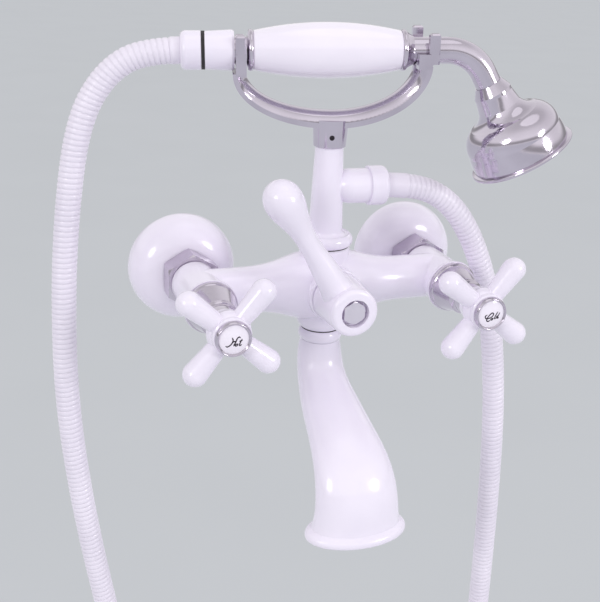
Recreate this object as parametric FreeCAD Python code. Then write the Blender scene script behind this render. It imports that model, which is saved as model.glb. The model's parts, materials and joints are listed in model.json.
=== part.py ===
import FreeCAD, Part
import math
import os

# Wall-mounted bath mixer with a swivelling spout, a diverter and a hand shower in a cradle.
# Millimetres. +Z up, +X to the viewer's right, the wall is the plane y = 0 and the viewer is at -Y.
# The origin is on the wall, half way between the two wall threads.

V = FreeCAD.Vector
UP = V(0, 0, 1)

# Fits between pieces
RUN_FIT = 0.05          # radial gap of a shaft that turns in its bore
SEAT_GAP = 0.1          # gap between faces that slide on each other
LOOSE = 0.3             # radial gap of a piece that is only slipped over another
THREAD_GAP = 0.04       # radial gap of a screwed joint, drawn without its thread form

# Standard threads, outside radii
G_HALF_R = 10.48
G_THREE_QUARTER_R = 13.22
HOSE_THREAD_R = 9.6     # G1/2 again, drawn at the foot of its thread inside the slim hose nuts

# Main places
INLET_PITCH = 150.0     # between the two wall threads, and between the two handles
UNION_OFFSET = 8.0      # how far the eccentric unions lift the mixer above the wall threads
SIDES = {"hot": -1, "cold": 1}
AXIS_Z = UNION_OFFSET
INLET_X = INLET_PITCH / 2

# Eccentric wall union and its cover
WALL_THREAD_LEN = 15.0
UNION_BEND = 9.0        # depth over which the union steps sideways
UNION_END = 28.0        # wall to the union's sealing face
UNION_BORE_R = 7.5
UNION_OUT_BORE_R = 9.5
COVER_R = 33.0
COVER_DEPTH = 20.7
COVER_WALL = 1.2
COVER_LIP = 3.0

# Union nut and washer
NUT_AF = 30.0
WASHER_THICK = 2.0
NUT_SHOULDER = 2.6
TAIL_FLANGE = 2.4
TAIL_NECK_R = 10.6
TAIL_LEN = 23.0         # from the washer to the axis of the mixer's arms
AXIS_DEPTH = UNION_END + WASHER_THICK + TAIL_LEN

# Cast body
ARM_R = 13.5
END_R = 13.6
FLARE_R = 21.5          # half height of the swelling in the middle of the body
FLARE_X = 48.0          # half length of that swelling
SEAT_PROUD = 23.0       # from the arm axis to the face that the headwork seats on
SEAT_DEPTH = AXIS_DEPTH + SEAT_PROUD
SEAT_R = 15.6
SEAT_FLARE = 7.0
BARREL_R = 14.9         # upright barrel that carries the column and the spout
BARREL_RISE = 2.9       # how far the barrel's top face stands above the swelling
BARREL_BOTTOM = 27.2    # below the arm axis
BARREL_ROUND = 6.0      # height of the rounded edge above the spout's collar
BARREL_FOOT_R = 11.6
BODY_THREAD_R = 10.9    # short thread below the barrel, for the spout's collar
BODY_THREAD_LEN = 3.2
BOSS_R = 16.2
BOSS_PROUD = 24.0       # from the arm axis to the face of the diverter's boss
BOSS_DEPTH = AXIS_DEPTH + BOSS_PROUD
VALVE_BORE_R = 10.2
INLET_BORE_R = 6.5
VALVE_BORE_LEN = 22.0
VALVE_SEAT_DEPTH = SEAT_DEPTH - VALVE_BORE_LEN
WATERWAY_R = 6.5
WATERWAY_FORWARD = 4.0  # the cross waterway runs this far in front of the arm axis
WATERWAY_END_GAP = 8.6  # from the handle axis to the end of the cross waterway
RISER_BORE_R = 6.5
SPOUT_BORE_R = 9.4
SPOUT_BORE_TOP = 12.0   # below the arm axis
OUTLET_PORT_R = 6.5

# Headwork, ceramic discs and spindle
HEAD_FLANGE_R = 12.0
HEAD_FLANGE = 2.0
HEAD_AF = 19.0
HEAD_HEX = 7.0
HEAD_HEX_END = SEAT_DEPTH + HEAD_FLANGE + HEAD_HEX
HEAD_NECK_R = 7.6
HEAD_NECK = 19.0
HEAD_END = HEAD_HEX_END + HEAD_NECK
COVER_BASE_R = 15.1     # chrome bell over the headwork
COVER_BASE = 2.2
COVER_CONE = 16.6       # from the seat to the front of its cone
COVER_CONE_R = 10.4
COVER_NECK_R = 9.2
COVER_SHELL = 1.2
DISC_R = 8.6
DISC_THICK = 3.0
DISC_PORT_R = 2.4
DISC_PORT_PITCH = 4.6
STEM_R = 4.0
STEM_FLANGE_R = 8.0
STEM_FLANGE = 3.0
STEM_PROUD = 9.0
STEM_END = HEAD_END + STEM_PROUD
ORING_R = 0.9           # section radius of the small O-rings

# Cross handle
HUB_GAP = 1.0           # between the bonnet's neck and the hub
HUB_START = HEAD_END + HUB_GAP
HUB_REAR_R = 10.3
HUB_BELLY_R = 12.2      # where the arms leave it
HUB_R = 10.7
HUB_LEN = 16.3
HUB_FACE = HUB_START + HUB_LEN
ARM_BACK = 6.8          # from the hub's face back to the middle of the arms
ARM_PLANE = HUB_FACE - ARM_BACK
HANDLE_ARM_ROOT = 4.7
HANDLE_BALL_X = 28.3
HANDLE_BALL_R = 6.8
HANDLE_RECESS_R = 8.6
HANDLE_RECESS = 5.0
HANDLE_TILT = {"hot": 4.8, "cold": 7.6}
INDEX_RING_R = 9.9
INDEX_RING_PROUD = 3.4
INDEX_RING_END = HUB_FACE + INDEX_RING_PROUD
BUTTON_R = 8.0
BUTTON_PROUD = 0.4      # how far the button's crown stands in front of its ring
BUTTON_END = INDEX_RING_END + BUTTON_PROUD
HANDLE_SCREW_R = 2.0
HANDLE_SCREW_HEAD_R = 4.4
HANDLE_SCREW_HEAD = 2.4
HANDLE_SCREW_GRIP = 9.0

# Diverter
LEVER_GAP = 1.0         # between the boss and the lever's hub
LEVER_HUB_START = BOSS_DEPTH + LEVER_GAP
LEVER_HUB_REAR_R = 15.2
LEVER_HUB_R = 13.6
LEVER_HUB_LEN = 27.5
LEVER_HUB_END = LEVER_HUB_START + LEVER_HUB_LEN
LEVER_ARM_BACK = 13.5   # from the hub's face back to the middle of the lever's arm
LEVER_DEPTH = LEVER_HUB_END - LEVER_ARM_BACK
LEVER_LEAN = 32.3       # rest angle, to the left of upright
LEVER_TIP = 87.0        # from the hub's axis to the end of the paddle
# Radius of the lever's arm, and how far that place lies inside the tip
LEVER_PROFILE = ((9.8, 77.0), (8.0, 63.0), (6.2, 45.5), (7.0, 30.5), (9.7, 20.5), (10.9, 12.5), (8.5, 4.5),
                 (0.0, 0.0))
LEVER_RECESS_R = 8.2
LEVER_RECESS = 5.0
DIVERTER_NECK_R = 9.2
DIVERTER_NECK = 10.0
DIVERTER_NECK_END = BOSS_DEPTH + DIVERTER_NECK
DIVERTER_SLEEVE = 15.0  # length of the sleeve inside the boss
CAM_BACK = 5.8          # the cam reaches this far behind the arm axis
CAM_FLOOR = 0.2         # gap behind the cam
CAP_AF = 12.4
CAP_SCREW_R = 2.5

# Spout
SPOUT_TOP = 35.0        # below the arm axis, where the visible neck begins
SPOUT_NECK_R = 11.9
SPOUT_DROP = 5.0        # straight neck before the first bend
SPOUT_TURN = 63.0
SPOUT_BEND_1 = 30.0
SPOUT_RUN = 42.0
SPOUT_BEND_2 = 33.0
SPOUT_TAIL = 7.6        # straight drop after the second bend, down to the lip
SPOUT_WALL = 2.4
SPOUT_SWELL = 0.06      # how much later than evenly the spout widens
MOUTH_A = 27.0          # half width of the spout above its lip
MOUTH_B = 15.0
LIP_A = 30.8
LIP_B = 18.2
LIP_DEEP = 6.3
LIP_ROUND = ((0.3, 0.9), (0.6, 0.0), (0.85, 0.1), (1.0, 1.0))     # share of its height, and inset there
SPIGOT_LEN = 21.0
SPIGOT_FLANGE_GAP = 3.0
COLLAR_R = 13.5
CLIP_R = 10.3
CLIP_THICK = 0.9
SPIGOT_CORE_R = 8.6
STRAIGHTENER_THICK = 4.0
STRAIGHTENER_RISE = 5.6     # from the bottom of the lip up to the plate
STRAIGHTENER_HOLE_R = 2.2
STRAIGHTENER_PITCH = 6.2

# Column
COLUMN_FOOT_R = 16.4
COLUMN_FOOT = 6.9
COLUMN_SEAL = 0.8
COLUMN_R = 8.2          # at the top, where the cradle sits
COLUMN_WAIST_R = 10.0
COLUMN_TOP = 94.0
COLUMN_BORE_R = 5.5
OUTLET_Z = 59.8
OUTLET_R = 10.2
OUTLET_ROOT_R = 7.6     # where it grows out of the column
OUTLET_LEN = 24.2
OUTLET_ANGLE = 5.0      # the side outlet is turned this far towards the viewer
OUTLET_THREAD_LEN = 6.0

# Hose nuts and hose
OUTLET_NUT_R = 11.6
HANDSET_NUT_R = 10.5
HOSE_NUT_LEN = 11.4
HOSE_NUT_ROUND = 3.6    # length of the nut's rounded shoulder
HOSE_NUT_END_R = 8.4
HOSE_WASHER = 1.8
HOSE_R = 7.15
HOSE_VALLEY_R = 6.5
HOSE_BORE_R = 4.2
HOSE_FLANGE_R = 9.0
HOSE_FLANGE = 1.6
HOSE_LEAD = 23.0        # straight run out of each nut
HOSE_PLAIN = 16.0       # smooth sleeve at each end
HOSE_RIBS = 110
HOSE_BEND_STATIONS = 3

# Cradle
CRADLE_ANGLE = 14.0     # turned towards the viewer on the column
CRADLE_COLLAR_LOW = 83.4
CRADLE_COLLAR_TOP = 99.0
CRADLE_LOW_R = 9.4
CRADLE_TOP_R = 10.4
YOKE_LOW = 37.4         # from the handset's axis down to the yoke's middle line at the column
# Left and right ends of the yoke: half width of its curve, rise of its curve, width of the bar there
YOKE_ENDS = {-1: (52.5, 26.0, 7.8), 1: (48.9, 29.8, 9.0)}
BAR_DEEP = 14.5         # front to back at the column
BAR_HIGH = 9.6
BAR_EDGE = 3.0          # height of the flat edge under the rounded top
FORK_DEEP = 25.6
FORK_GAP = 0.45         # round the handset's neck
POST_WIDE = 5.8
POST_BEVEL = 1.0
# Posts of the forks: side, front (-1) or back (1), column to the post's middle,
# height above the handset's axis
POSTS = ((-1, -1, 51.8, 8.6), (-1, 1, 51.8, 7.4), (1, -1, 54.0, 10.1), (1, 1, 48.2, 12.6))
FORK_FOOT = 4.0         # depth of the block under the neck, below the neck's lowest line
GRUB_R = 1.45

# Handset, along its own axis from the middle of the column
HANDSET_Z = 136.7       # above the arm axis
HANDSET_TILT = 1.6      # down to the hose end
PIPE_R = 7.35
PIPE_BORE_R = 5.6
FITTING_START = -71.2
FITTING_END = -55.3
FITTING_R = 10.2
FITTING_WALL = 4.0      # shoulder inside the fitting that the pipe stands on
BLACK_RING = 1.9        # rubber ring between the fitting and the hose nut
BLACK_RING_R = 10.3
FITTING_END_R = 11.0
FERRULE_R = 11.3
GRIP_START = -44.8
GRIP_END = 37.2
GRIP_END_R = 10.8
GRIP_R = 15.2
GRIP_BORE_GAP = 0.4
FERRULE_FLANGE = 2.9
FERRULE_LEFT = 3.6
FERRULE_RIGHT = 6.4
BEND_X = 78.1           # where the two straight lines of the bent pipe meet
BEND_TURN = 60.5
BEND_R = 25.0

# Bell, along its own axis from the corner of the bend
BELL_TOP = 21.0
BELL_COLLAR = 27.6
BELL_COLLAR_R = 10.9
BELL_NECK = 36.0
BELL_NECK_R = 12.4
BELL_SHOULDER = 47.5
BELL_SHOULDER_R = 25.6
BELL_DOME = 56.0
BELL_R = 28.6
BELL_RIM = 68.8
RIM_R = 30.9
RIM_THICK = 2.4
BELL_WALL = 1.4
FACE_THICK = 3.0
FACE_SINK = 1.5
NOZZLE_R = 1.1
NOZZLE_COUNTS = (6, 10, 14)
NOZZLE_RADII = (8.5, 15.5, 22.0)
FACE_SCREW_R = 3.0

# Hose route from the column's side outlet to the handset: x, y, and z above the arm axis. The points
# at the two nuts are worked out from the nuts below.
HOSE_ROUTE = [
    (76.6, -59.0, 49.0),
    (92.9, -59.3, 28.6),
    (107.4, -60.1, -3.0),
    (117.8, -60.1, -45.0),
    (125.9, -59.5, -99.0),
    (130.7, -58.6, -165.0),
    (133.9, -57.3, -241.0),
    (135.8, -56.4, -325.0),
    (133.0, -55.4, -410.0),
    (116.0, -53.5, -479.0),
    (87.0, -50.8, -520.0),
    (50.7, -47.7, -540.0),
    (4.1, -43.8, -543.3),
    (-35.8, -40.1, -527.0),
    (-70.4, -36.5, -488.0),
    (-96.0, -33.0, -422.0),
    (-113.5, -30.0, -336.0),
    (-129.5, -27.0, -243.0),
    (-143.2, -24.5, -157.0),
    (-150.8, -22.6, -78.0),
    (-149.8, -21.4, -10.0),
    (-144.8, -20.4, 47.6),
    (-136.4, -20.5, 95.8),
    (-120.9, -23.3, 122.0),
]


def turned(steps):
    """Solid of revolution about +Z. A step is (radius, height), or (through point, end point) for an arc."""
    flat = [V(steps[0][0], 0, steps[0][1])]
    edges = []
    for step in steps[1:]:
        if isinstance(step[0], tuple):
            through, end = (V(p[0], 0, p[1]) for p in step)
            edges.append(Part.Arc(flat[-1], through, end).toShape())
        else:
            end = V(step[0], 0, step[1])
            edges.append(Part.LineSegment(flat[-1], end).toShape())
        flat.append(end)
    edges.append(Part.LineSegment(flat[-1], flat[0]).toShape())
    return Part.Face(Part.Wire(edges)).revolve(V(0, 0, 0), UP, 360)


def cap(r, low, high):
    """Step for a round cap over that radius: an arc about a centre on the axis, up to the top."""
    rise = high - low
    ball = (r * r + rise * rise) / (2 * rise)
    return (r / 2, high - ball + math.sqrt(ball * ball - r * r / 4)), (0, high)


def ring(inner, outer, low, high):
    """Plain ring about +Z."""
    return turned([(inner, low), (outer, low), (outer, high), (inner, high)])


def hexagon(across, low, high):
    """Hexagonal bar about +Z, with two flats facing +X and -X."""
    r = across / math.sqrt(3)
    points = [V(r * math.cos(a), r * math.sin(a), low) for a in [math.radians(30 + 60 * k) for k in range(7)]]
    return Part.Face(Part.makePolygon(points)).extrude(V(0, 0, high - low))


def chamfered(across, low, high, bevel):
    """Hexagonal bar with its corners turned off at both ends."""
    r = across / math.sqrt(3) + 0.1
    cone = turned([(0, low), (r - bevel, low), (r, low + bevel * 0.55), (r, high - bevel * 0.55),
                   (r - bevel, high), (0, high)])
    return hexagon(across, low, high).common(cone)


def oring(ring_r, height, section=ORING_R):
    """O-ring about +Z."""
    return Part.makeTorus(ring_r, section, V(0, 0, height), UP)


def cylinder(r, start, end):
    """Cylinder between two points."""
    return Part.makeCylinder(r, (end - start).Length, start, end - start)


def facing(shape, x, z=AXIS_Z):
    """Turns +Z to the viewer, so that a height becomes a depth from the wall, at that x and z."""
    out = shape.copy()
    out.Placement = FreeCAD.Placement(V(x, 0, z), FreeCAD.Rotation(V(1, 0, 0), 90)).multiply(out.Placement)
    return out


def upright(shape, angle=0.0):
    """Stands a shape on the barrel's axis, with heights counted from the arm axis."""
    out = shape.copy()
    turn = FreeCAD.Rotation(UP, -angle)
    out.Placement = FreeCAD.Placement(V(0, -AXIS_DEPTH, AXIS_Z), turn).multiply(out.Placement)
    return out


def along_x(shape):
    """Turns +Z to +X."""
    out = shape.copy()
    out.Placement = FreeCAD.Placement(V(0, 0, 0), FreeCAD.Rotation(V(0, 1, 0), 90)).multiply(out.Placement)
    return out


def handset_placement():
    turn = FreeCAD.Rotation(UP, -CRADLE_ANGLE).multiply(FreeCAD.Rotation(V(0, 1, 0), -HANDSET_TILT))
    return FreeCAD.Placement(V(0, -AXIS_DEPTH, AXIS_Z + HANDSET_Z), turn)


def in_hand(shape):
    """Places a shape made on the handset's own axis, +X towards the bell."""
    out = shape.copy()
    out.Placement = handset_placement().multiply(out.Placement)
    return out


def outlet_placement():
    turn = FreeCAD.Rotation(UP, -OUTLET_ANGLE).multiply(FreeCAD.Rotation(V(0, 1, 0), 90))
    return FreeCAD.Placement(V(0, -AXIS_DEPTH, AXIS_Z + OUTLET_Z), turn)


def on_outlet(shape):
    """Places a shape made about +Z on the column's side outlet."""
    out = shape.copy()
    out.Placement = outlet_placement().multiply(out.Placement)
    return out


# Wall side


def eccentric_union(x):
    start = V(x, WALL_THREAD_LEN, 0)
    wall_end = V(x, -1.0, 0)
    wide = G_THREE_QUARTER_R
    step_start = Part.Wire(Part.makeCircle(G_HALF_R, V(x, -1.0, 0), V(0, -1, 0)))
    step_end = Part.Wire(Part.makeCircle(wide, V(x, -1.0 - UNION_BEND, AXIS_Z), V(0, -1, 0)))
    bore_start = Part.Wire(Part.makeCircle(UNION_BORE_R, V(x, -1.0, 0), V(0, -1, 0)))
    bore_end = Part.Wire(Part.makeCircle(UNION_OUT_BORE_R, V(x, -1.0 - UNION_BEND, AXIS_Z), V(0, -1, 0)))
    outside = cylinder(G_HALF_R, start, wall_end)
    outside = outside.fuse(Part.makeLoft([step_start, step_end], True, True))
    outside = outside.fuse(cylinder(wide, V(x, -1.0 - UNION_BEND, AXIS_Z), V(x, -UNION_END, AXIS_Z)))
    inside = cylinder(UNION_BORE_R, start, wall_end)
    inside = inside.fuse(Part.makeLoft([bore_start, bore_end], True, True))
    inside = inside.fuse(cylinder(UNION_OUT_BORE_R, V(x, -1.0 - UNION_BEND, AXIS_Z),
                                  V(x, -UNION_END, AXIS_Z)))
    return outside.cut(inside).removeSplitter()


def dome_arc(r, depth, hole):
    """Three points of the cover's section, from the rim to the edge of the hole."""
    middle = math.radians(50)
    return (r, 0.0), (hole + (r - hole) * math.cos(middle), depth * math.sin(middle)), (hole, depth)


def wall_cover(x):
    hole = G_THREE_QUARTER_R + THREAD_GAP
    rim, mid, top = dome_arc(COVER_R, COVER_DEPTH, hole + COVER_LIP)
    inner_r = COVER_R - COVER_WALL
    _, inner_mid, inner_top = dome_arc(inner_r, COVER_DEPTH - COVER_WALL, hole + COVER_LIP)
    shell = turned([rim, (mid, top), (hole, COVER_DEPTH), (hole, COVER_DEPTH - 3 * COVER_WALL),
                    (hole + COVER_WALL, COVER_DEPTH - 3 * COVER_WALL),
                    (hole + COVER_WALL, COVER_DEPTH - COVER_WALL), inner_top, (inner_mid, (inner_r, 0.0))])
    return facing(shell, x)


def union_face():
    return UNION_END + WASHER_THICK


def union_nut(x):
    start = COVER_DEPTH + LOOSE
    shoulder = union_face() + TAIL_FLANGE + SEAT_GAP
    blank = chamfered(NUT_AF, start, shoulder + NUT_SHOULDER, 1.6)
    bore = Part.makeCylinder(G_THREE_QUARTER_R + THREAD_GAP, shoulder - start, V(0, 0, start), UP)
    hole = Part.makeCylinder(TAIL_NECK_R + LOOSE, NUT_SHOULDER, V(0, 0, shoulder), UP)
    return facing(blank.cut(bore).cut(hole), x)


def union_washer(x):
    return facing(ring(UNION_OUT_BORE_R, G_THREE_QUARTER_R - LOOSE, UNION_END, union_face()), x)


# Cast body


def barrel_top():
    """Height of the face that the column stands on, above the arm axis."""
    return FLARE_R + BARREL_RISE


def swelling():
    """The middle of the body swells towards its barrel in one S-shaped curve on each side."""
    rise = FLARE_R - ARM_R
    arc_r = (FLARE_X ** 2 + rise ** 2) / (4 * rise)
    half = FLARE_X / 2
    sag = arc_r - math.sqrt(arc_r ** 2 - (half / 2) ** 2)
    return turned([(0, -FLARE_X), (ARM_R, -FLARE_X),
                   ((ARM_R + sag, -FLARE_X + half / 2), (ARM_R + rise / 2, -half)),
                   ((FLARE_R, 0), (ARM_R + rise / 2, half)),
                   ((ARM_R + sag, FLARE_X - half / 2), (ARM_R, FLARE_X)), (0, FLARE_X)])


def inlet_end(x):
    """Valve chamber with its seat in front and its inlet tail behind."""
    tail = union_face()
    back = tail + TAIL_FLANGE + SEAT_GAP + NUT_SHOULDER + LOOSE
    outline = [(0, tail), (G_THREE_QUARTER_R - LOOSE, tail),
               (G_THREE_QUARTER_R - LOOSE, tail + TAIL_FLANGE),
               (TAIL_NECK_R, tail + TAIL_FLANGE), (TAIL_NECK_R, back), (END_R - 1.2, back),
               ((END_R - 0.35, back + 0.35), (END_R, back + 1.2)), (END_R, SEAT_DEPTH - SEAT_FLARE),
               ((END_R + 0.6, SEAT_DEPTH - SEAT_FLARE * 0.45), (SEAT_R, SEAT_DEPTH - 1.0)),
               (SEAT_R, SEAT_DEPTH), (0, SEAT_DEPTH)]
    return facing(turned(outline), x)


def body():
    arms = along_x(Part.makeCylinder(ARM_R, INLET_PITCH, V(0, 0, -INLET_X), UP))
    middle = along_x(swelling())
    solid = upright(arms).fuse(upright(middle))
    low, high = -BARREL_BOTTOM, barrel_top()
    barrel = turned([(0, low - BODY_THREAD_LEN), (BODY_THREAD_R, low - BODY_THREAD_LEN),
                     (BODY_THREAD_R, low), (BARREL_FOOT_R, low),
                     ((BARREL_R - 1.0, low + BARREL_ROUND * 0.4), (BARREL_R, low + BARREL_ROUND)),
                     (BARREL_R, high - 1.0), (BARREL_R - 1.0, high), (0, high)])
    boss = turned([(0, AXIS_DEPTH), (BOSS_R, AXIS_DEPTH), (BOSS_R, BOSS_DEPTH - 1.0),
                   ((BOSS_R - 0.3, BOSS_DEPTH - 0.3), (BOSS_R - 1.0, BOSS_DEPTH)), (0, BOSS_DEPTH)])
    solid = solid.multiFuse([upright(barrel), facing(boss, 0), inlet_end(-INLET_X), inlet_end(INLET_X)])
    return solid.cut(waterways()).removeSplitter()


def waterways():
    """Everything bored out of the body."""
    bores = []
    for x in (-INLET_X, INLET_X):
        bores.append(facing(Part.makeCylinder(INLET_BORE_R, VALVE_SEAT_DEPTH - union_face() + 3.0,
                                              V(0, 0, union_face() - 1.0), UP), x))
        bores.append(facing(Part.makeCylinder(VALVE_BORE_R, SEAT_DEPTH - VALVE_SEAT_DEPTH,
                                              V(0, 0, VALVE_SEAT_DEPTH), UP), x))
    half = INLET_X - WATERWAY_END_GAP
    depth = AXIS_DEPTH + WATERWAY_FORWARD
    bores.append(cylinder(WATERWAY_R, V(-half, -depth, AXIS_Z), V(half, -depth, AXIS_Z)))
    floor = AXIS_DEPTH - CAM_BACK - CAM_FLOOR
    bores.append(facing(Part.makeCylinder(VALVE_BORE_R, BOSS_DEPTH - floor, V(0, 0, floor), UP), 0))
    bores.append(upright(Part.makeCylinder(RISER_BORE_R, barrel_top(), V(0, 0, 0), UP)))
    bottom = BARREL_BOTTOM + BODY_THREAD_LEN
    bores.append(upright(Part.makeCylinder(OUTLET_PORT_R, bottom, V(0, 0, -bottom), UP)))
    bores.append(upright(Part.makeCylinder(SPOUT_BORE_R, bottom - SPOUT_BORE_TOP, V(0, 0, -bottom), UP)))
    first = bores[0]
    return first.multiFuse(bores[1:])


# Headworks and handles


def stack():
    """Depths of the two ceramic discs and the spindle's flange, from the valve seat outwards."""
    fixed = VALVE_SEAT_DEPTH
    moving = fixed + DISC_THICK
    flange = moving + DISC_THICK + SEAT_GAP
    return fixed, moving, flange


def disc(x, start, turn):
    """Ceramic disc with two ports."""
    blank = Part.makeCylinder(DISC_R, DISC_THICK, V(0, 0, start), UP)
    for side in (-1, 1):
        port = Part.makeCylinder(DISC_PORT_R, DISC_THICK, V(side * DISC_PORT_PITCH, 0, start), UP)
        port.rotate(V(0, 0, 0), UP, turn)
        blank = blank.cut(port)
    return facing(blank, x)


def headwork(x):
    """Screwed valve insert: sleeve in the body, flange on the seat, hexagon and a long neck."""
    sleeve_start = stack()[2] + STEM_FLANGE + SEAT_GAP
    seat = SEAT_DEPTH
    outside = turned([(0, sleeve_start), (VALVE_BORE_R - THREAD_GAP, sleeve_start),
                      (VALVE_BORE_R - THREAD_GAP, seat),
                      (HEAD_FLANGE_R, seat), (HEAD_FLANGE_R, seat + HEAD_FLANGE),
                      (HEAD_NECK_R, seat + HEAD_FLANGE), (HEAD_NECK_R, HEAD_END - 0.6),
                      (HEAD_NECK_R - 0.6, HEAD_END), (0, HEAD_END)])
    outside = outside.fuse(chamfered(HEAD_AF, seat + HEAD_FLANGE, HEAD_HEX_END, 1.2))
    bore = Part.makeCylinder(STEM_R + RUN_FIT, HEAD_END - sleeve_start, V(0, 0, sleeve_start), UP)
    return facing(outside.cut(bore).removeSplitter(), x)


def headwork_cover(x):
    """Chrome bell over the hexagon, screwed to the headwork's neck: rim, cone, bead and neck."""
    seat = SEAT_DEPTH
    cone = seat + COVER_CONE
    end = HEAD_END - 0.3
    bore = HEAD_NECK_R + THREAD_GAP
    inner = COVER_BASE_R - COVER_SHELL
    section = turned([(inner, seat), (COVER_BASE_R, seat), (COVER_BASE_R, seat + COVER_BASE),
                      ((COVER_BASE_R - 0.3, seat + COVER_BASE + 0.8),
                       (COVER_BASE_R - 0.9, seat + COVER_BASE + 1.5)),
                      (COVER_CONE_R, cone), ((COVER_CONE_R + 0.5, cone + 1.0), (COVER_CONE_R, cone + 2.0)),
                      ((COVER_NECK_R + 0.2, cone + 3.4), (COVER_NECK_R, cone + 5.0)),
                      (COVER_NECK_R, end - 0.8),
                      (COVER_NECK_R - 0.8, end), (bore, end), (bore, cone + 2.0),
                      (COVER_CONE_R - COVER_SHELL, cone + 0.4), (inner - 0.9, seat + COVER_BASE + 1.5)])
    return facing(section, x)


def stem(x, end):
    """Spindle: flange that turns the ceramic disc, round shaft and a tapped end."""
    flange = stack()[2]
    shaft = turned([(0, flange), (STEM_FLANGE_R, flange), (STEM_FLANGE_R, flange + STEM_FLANGE),
                    (STEM_R, flange + STEM_FLANGE), (STEM_R, end), (0, end)])
    tap = Part.makeCylinder(HANDLE_SCREW_R + THREAD_GAP, HANDLE_SCREW_GRIP,
                            V(0, 0, end - HANDLE_SCREW_GRIP), UP)
    return facing(shaft.cut(tap), x)


def handle_arm(angle):
    """One arm of the cross, a cone that runs smoothly into its round end."""
    reach = math.hypot(HANDLE_BALL_X, HANDLE_ARM_ROOT)
    slope = math.asin(HANDLE_BALL_R / reach) - math.atan2(HANDLE_ARM_ROOT, HANDLE_BALL_X)
    meet = HANDLE_BALL_X - HANDLE_BALL_R * math.sin(slope)
    middle = math.radians(40)
    arm = turned([(0, 0), (HANDLE_ARM_ROOT, 0), (HANDLE_BALL_R * math.cos(slope), meet),
                  ((HANDLE_BALL_R * math.cos(middle), HANDLE_BALL_X + HANDLE_BALL_R * math.sin(middle)),
                   (0, HANDLE_BALL_X + HANDLE_BALL_R))])
    arm = along_x(arm)
    arm.rotate(V(0, 0, 0), UP, angle)
    arm.translate(V(0, 0, ARM_PLANE))
    return arm


def cross_handle(side):
    tilt = HANDLE_TILT[side]
    floor = HUB_FACE - HANDLE_RECESS
    middle = (ARM_PLANE + HUB_START) / 2
    hub = turned([(0, HUB_START), (HUB_REAR_R - 0.4, HUB_START), (HUB_REAR_R, HUB_START + 0.4),
                  ((HUB_REAR_R + 0.7, middle), (HUB_BELLY_R, ARM_PLANE - 1.5)),
                  ((HUB_BELLY_R - 0.3, ARM_PLANE + 1.2), (HUB_R, ARM_PLANE + 3.6)),
                  (HUB_R, HUB_FACE - 0.8), (HUB_R - 0.8, HUB_FACE), (0, HUB_FACE)])
    # Seen from the front, a positive tilt is a counter-clockwise turn, which is the same sense in this frame.
    solid = hub.multiFuse([handle_arm(45 + tilt + 90 * k) for k in range(4)])
    solid = solid.cut(Part.makeCylinder(HANDLE_RECESS_R, HANDLE_RECESS, V(0, 0, floor), UP))
    solid = solid.cut(Part.makeCylinder(STEM_R + RUN_FIT, STEM_END - HUB_START, V(0, 0, HUB_START), UP))
    solid = solid.cut(Part.makeCylinder(HANDLE_SCREW_R + LOOSE, floor - STEM_END, V(0, 0, STEM_END), UP))
    return facing(solid.removeSplitter(), SIDES[side] * INLET_X)


def handle_screw(x):
    floor = HUB_FACE - HANDLE_RECESS
    screw = turned([(0, STEM_END - HANDLE_SCREW_GRIP), (HANDLE_SCREW_R, STEM_END - HANDLE_SCREW_GRIP),
                    (HANDLE_SCREW_R, floor), (HANDLE_SCREW_HEAD_R, floor),
                    (HANDLE_SCREW_HEAD_R, floor + 0.6),
                    cap(HANDLE_SCREW_HEAD_R, floor + 0.6, floor + HANDLE_SCREW_HEAD)])
    slot = Part.makeBox(2 * HANDLE_SCREW_HEAD_R, 1.0, HANDLE_SCREW_HEAD,
                        V(-HANDLE_SCREW_HEAD_R, -0.5, floor + 1.2))
    return facing(screw.cut(slot), x)


def index_ring(x):
    """Chrome bezel pressed into the hub's recess, with the button inside it."""
    skirt = HANDLE_RECESS_R - RUN_FIT
    bore = BUTTON_R + RUN_FIT
    start = HUB_FACE - HANDLE_RECESS + 0.6
    section = turned([(bore, start), (skirt, start), (skirt, HUB_FACE), (INDEX_RING_R - 0.3, HUB_FACE),
                      ((INDEX_RING_R, (HUB_FACE + INDEX_RING_END) / 2),
                       (INDEX_RING_R - 0.6, INDEX_RING_END - 0.4)),
                      ((INDEX_RING_R - 1.1, INDEX_RING_END), (bore + 0.5, INDEX_RING_END - 0.5)),
                      (bore, INDEX_RING_END - 0.9)])
    return facing(section, x)


def index_button(x):
    start = HUB_FACE - HANDLE_RECESS + HANDLE_SCREW_HEAD + SEAT_GAP
    edge = INDEX_RING_END - 1.0
    button = turned([(0, start), (BUTTON_R, start), (BUTTON_R, edge), cap(BUTTON_R, edge, BUTTON_END)])
    return facing(button, x)


# Diverter


def diverter_headwork():
    sleeve_start = BOSS_DEPTH - DIVERTER_SLEEVE
    outside = turned([(0, sleeve_start), (VALVE_BORE_R - THREAD_GAP, sleeve_start),
                      (VALVE_BORE_R - THREAD_GAP, BOSS_DEPTH),
                      (DIVERTER_NECK_R, BOSS_DEPTH), (DIVERTER_NECK_R, DIVERTER_NECK_END - 0.8),
                      (DIVERTER_NECK_R - 0.8, DIVERTER_NECK_END), (0, DIVERTER_NECK_END)])
    bore = Part.makeCylinder(STEM_R + RUN_FIT, DIVERTER_NECK_END - sleeve_start, V(0, 0, sleeve_start), UP)
    return facing(outside.cut(bore), 0)


def lever_floor():
    return LEVER_HUB_END - LEVER_RECESS


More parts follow.
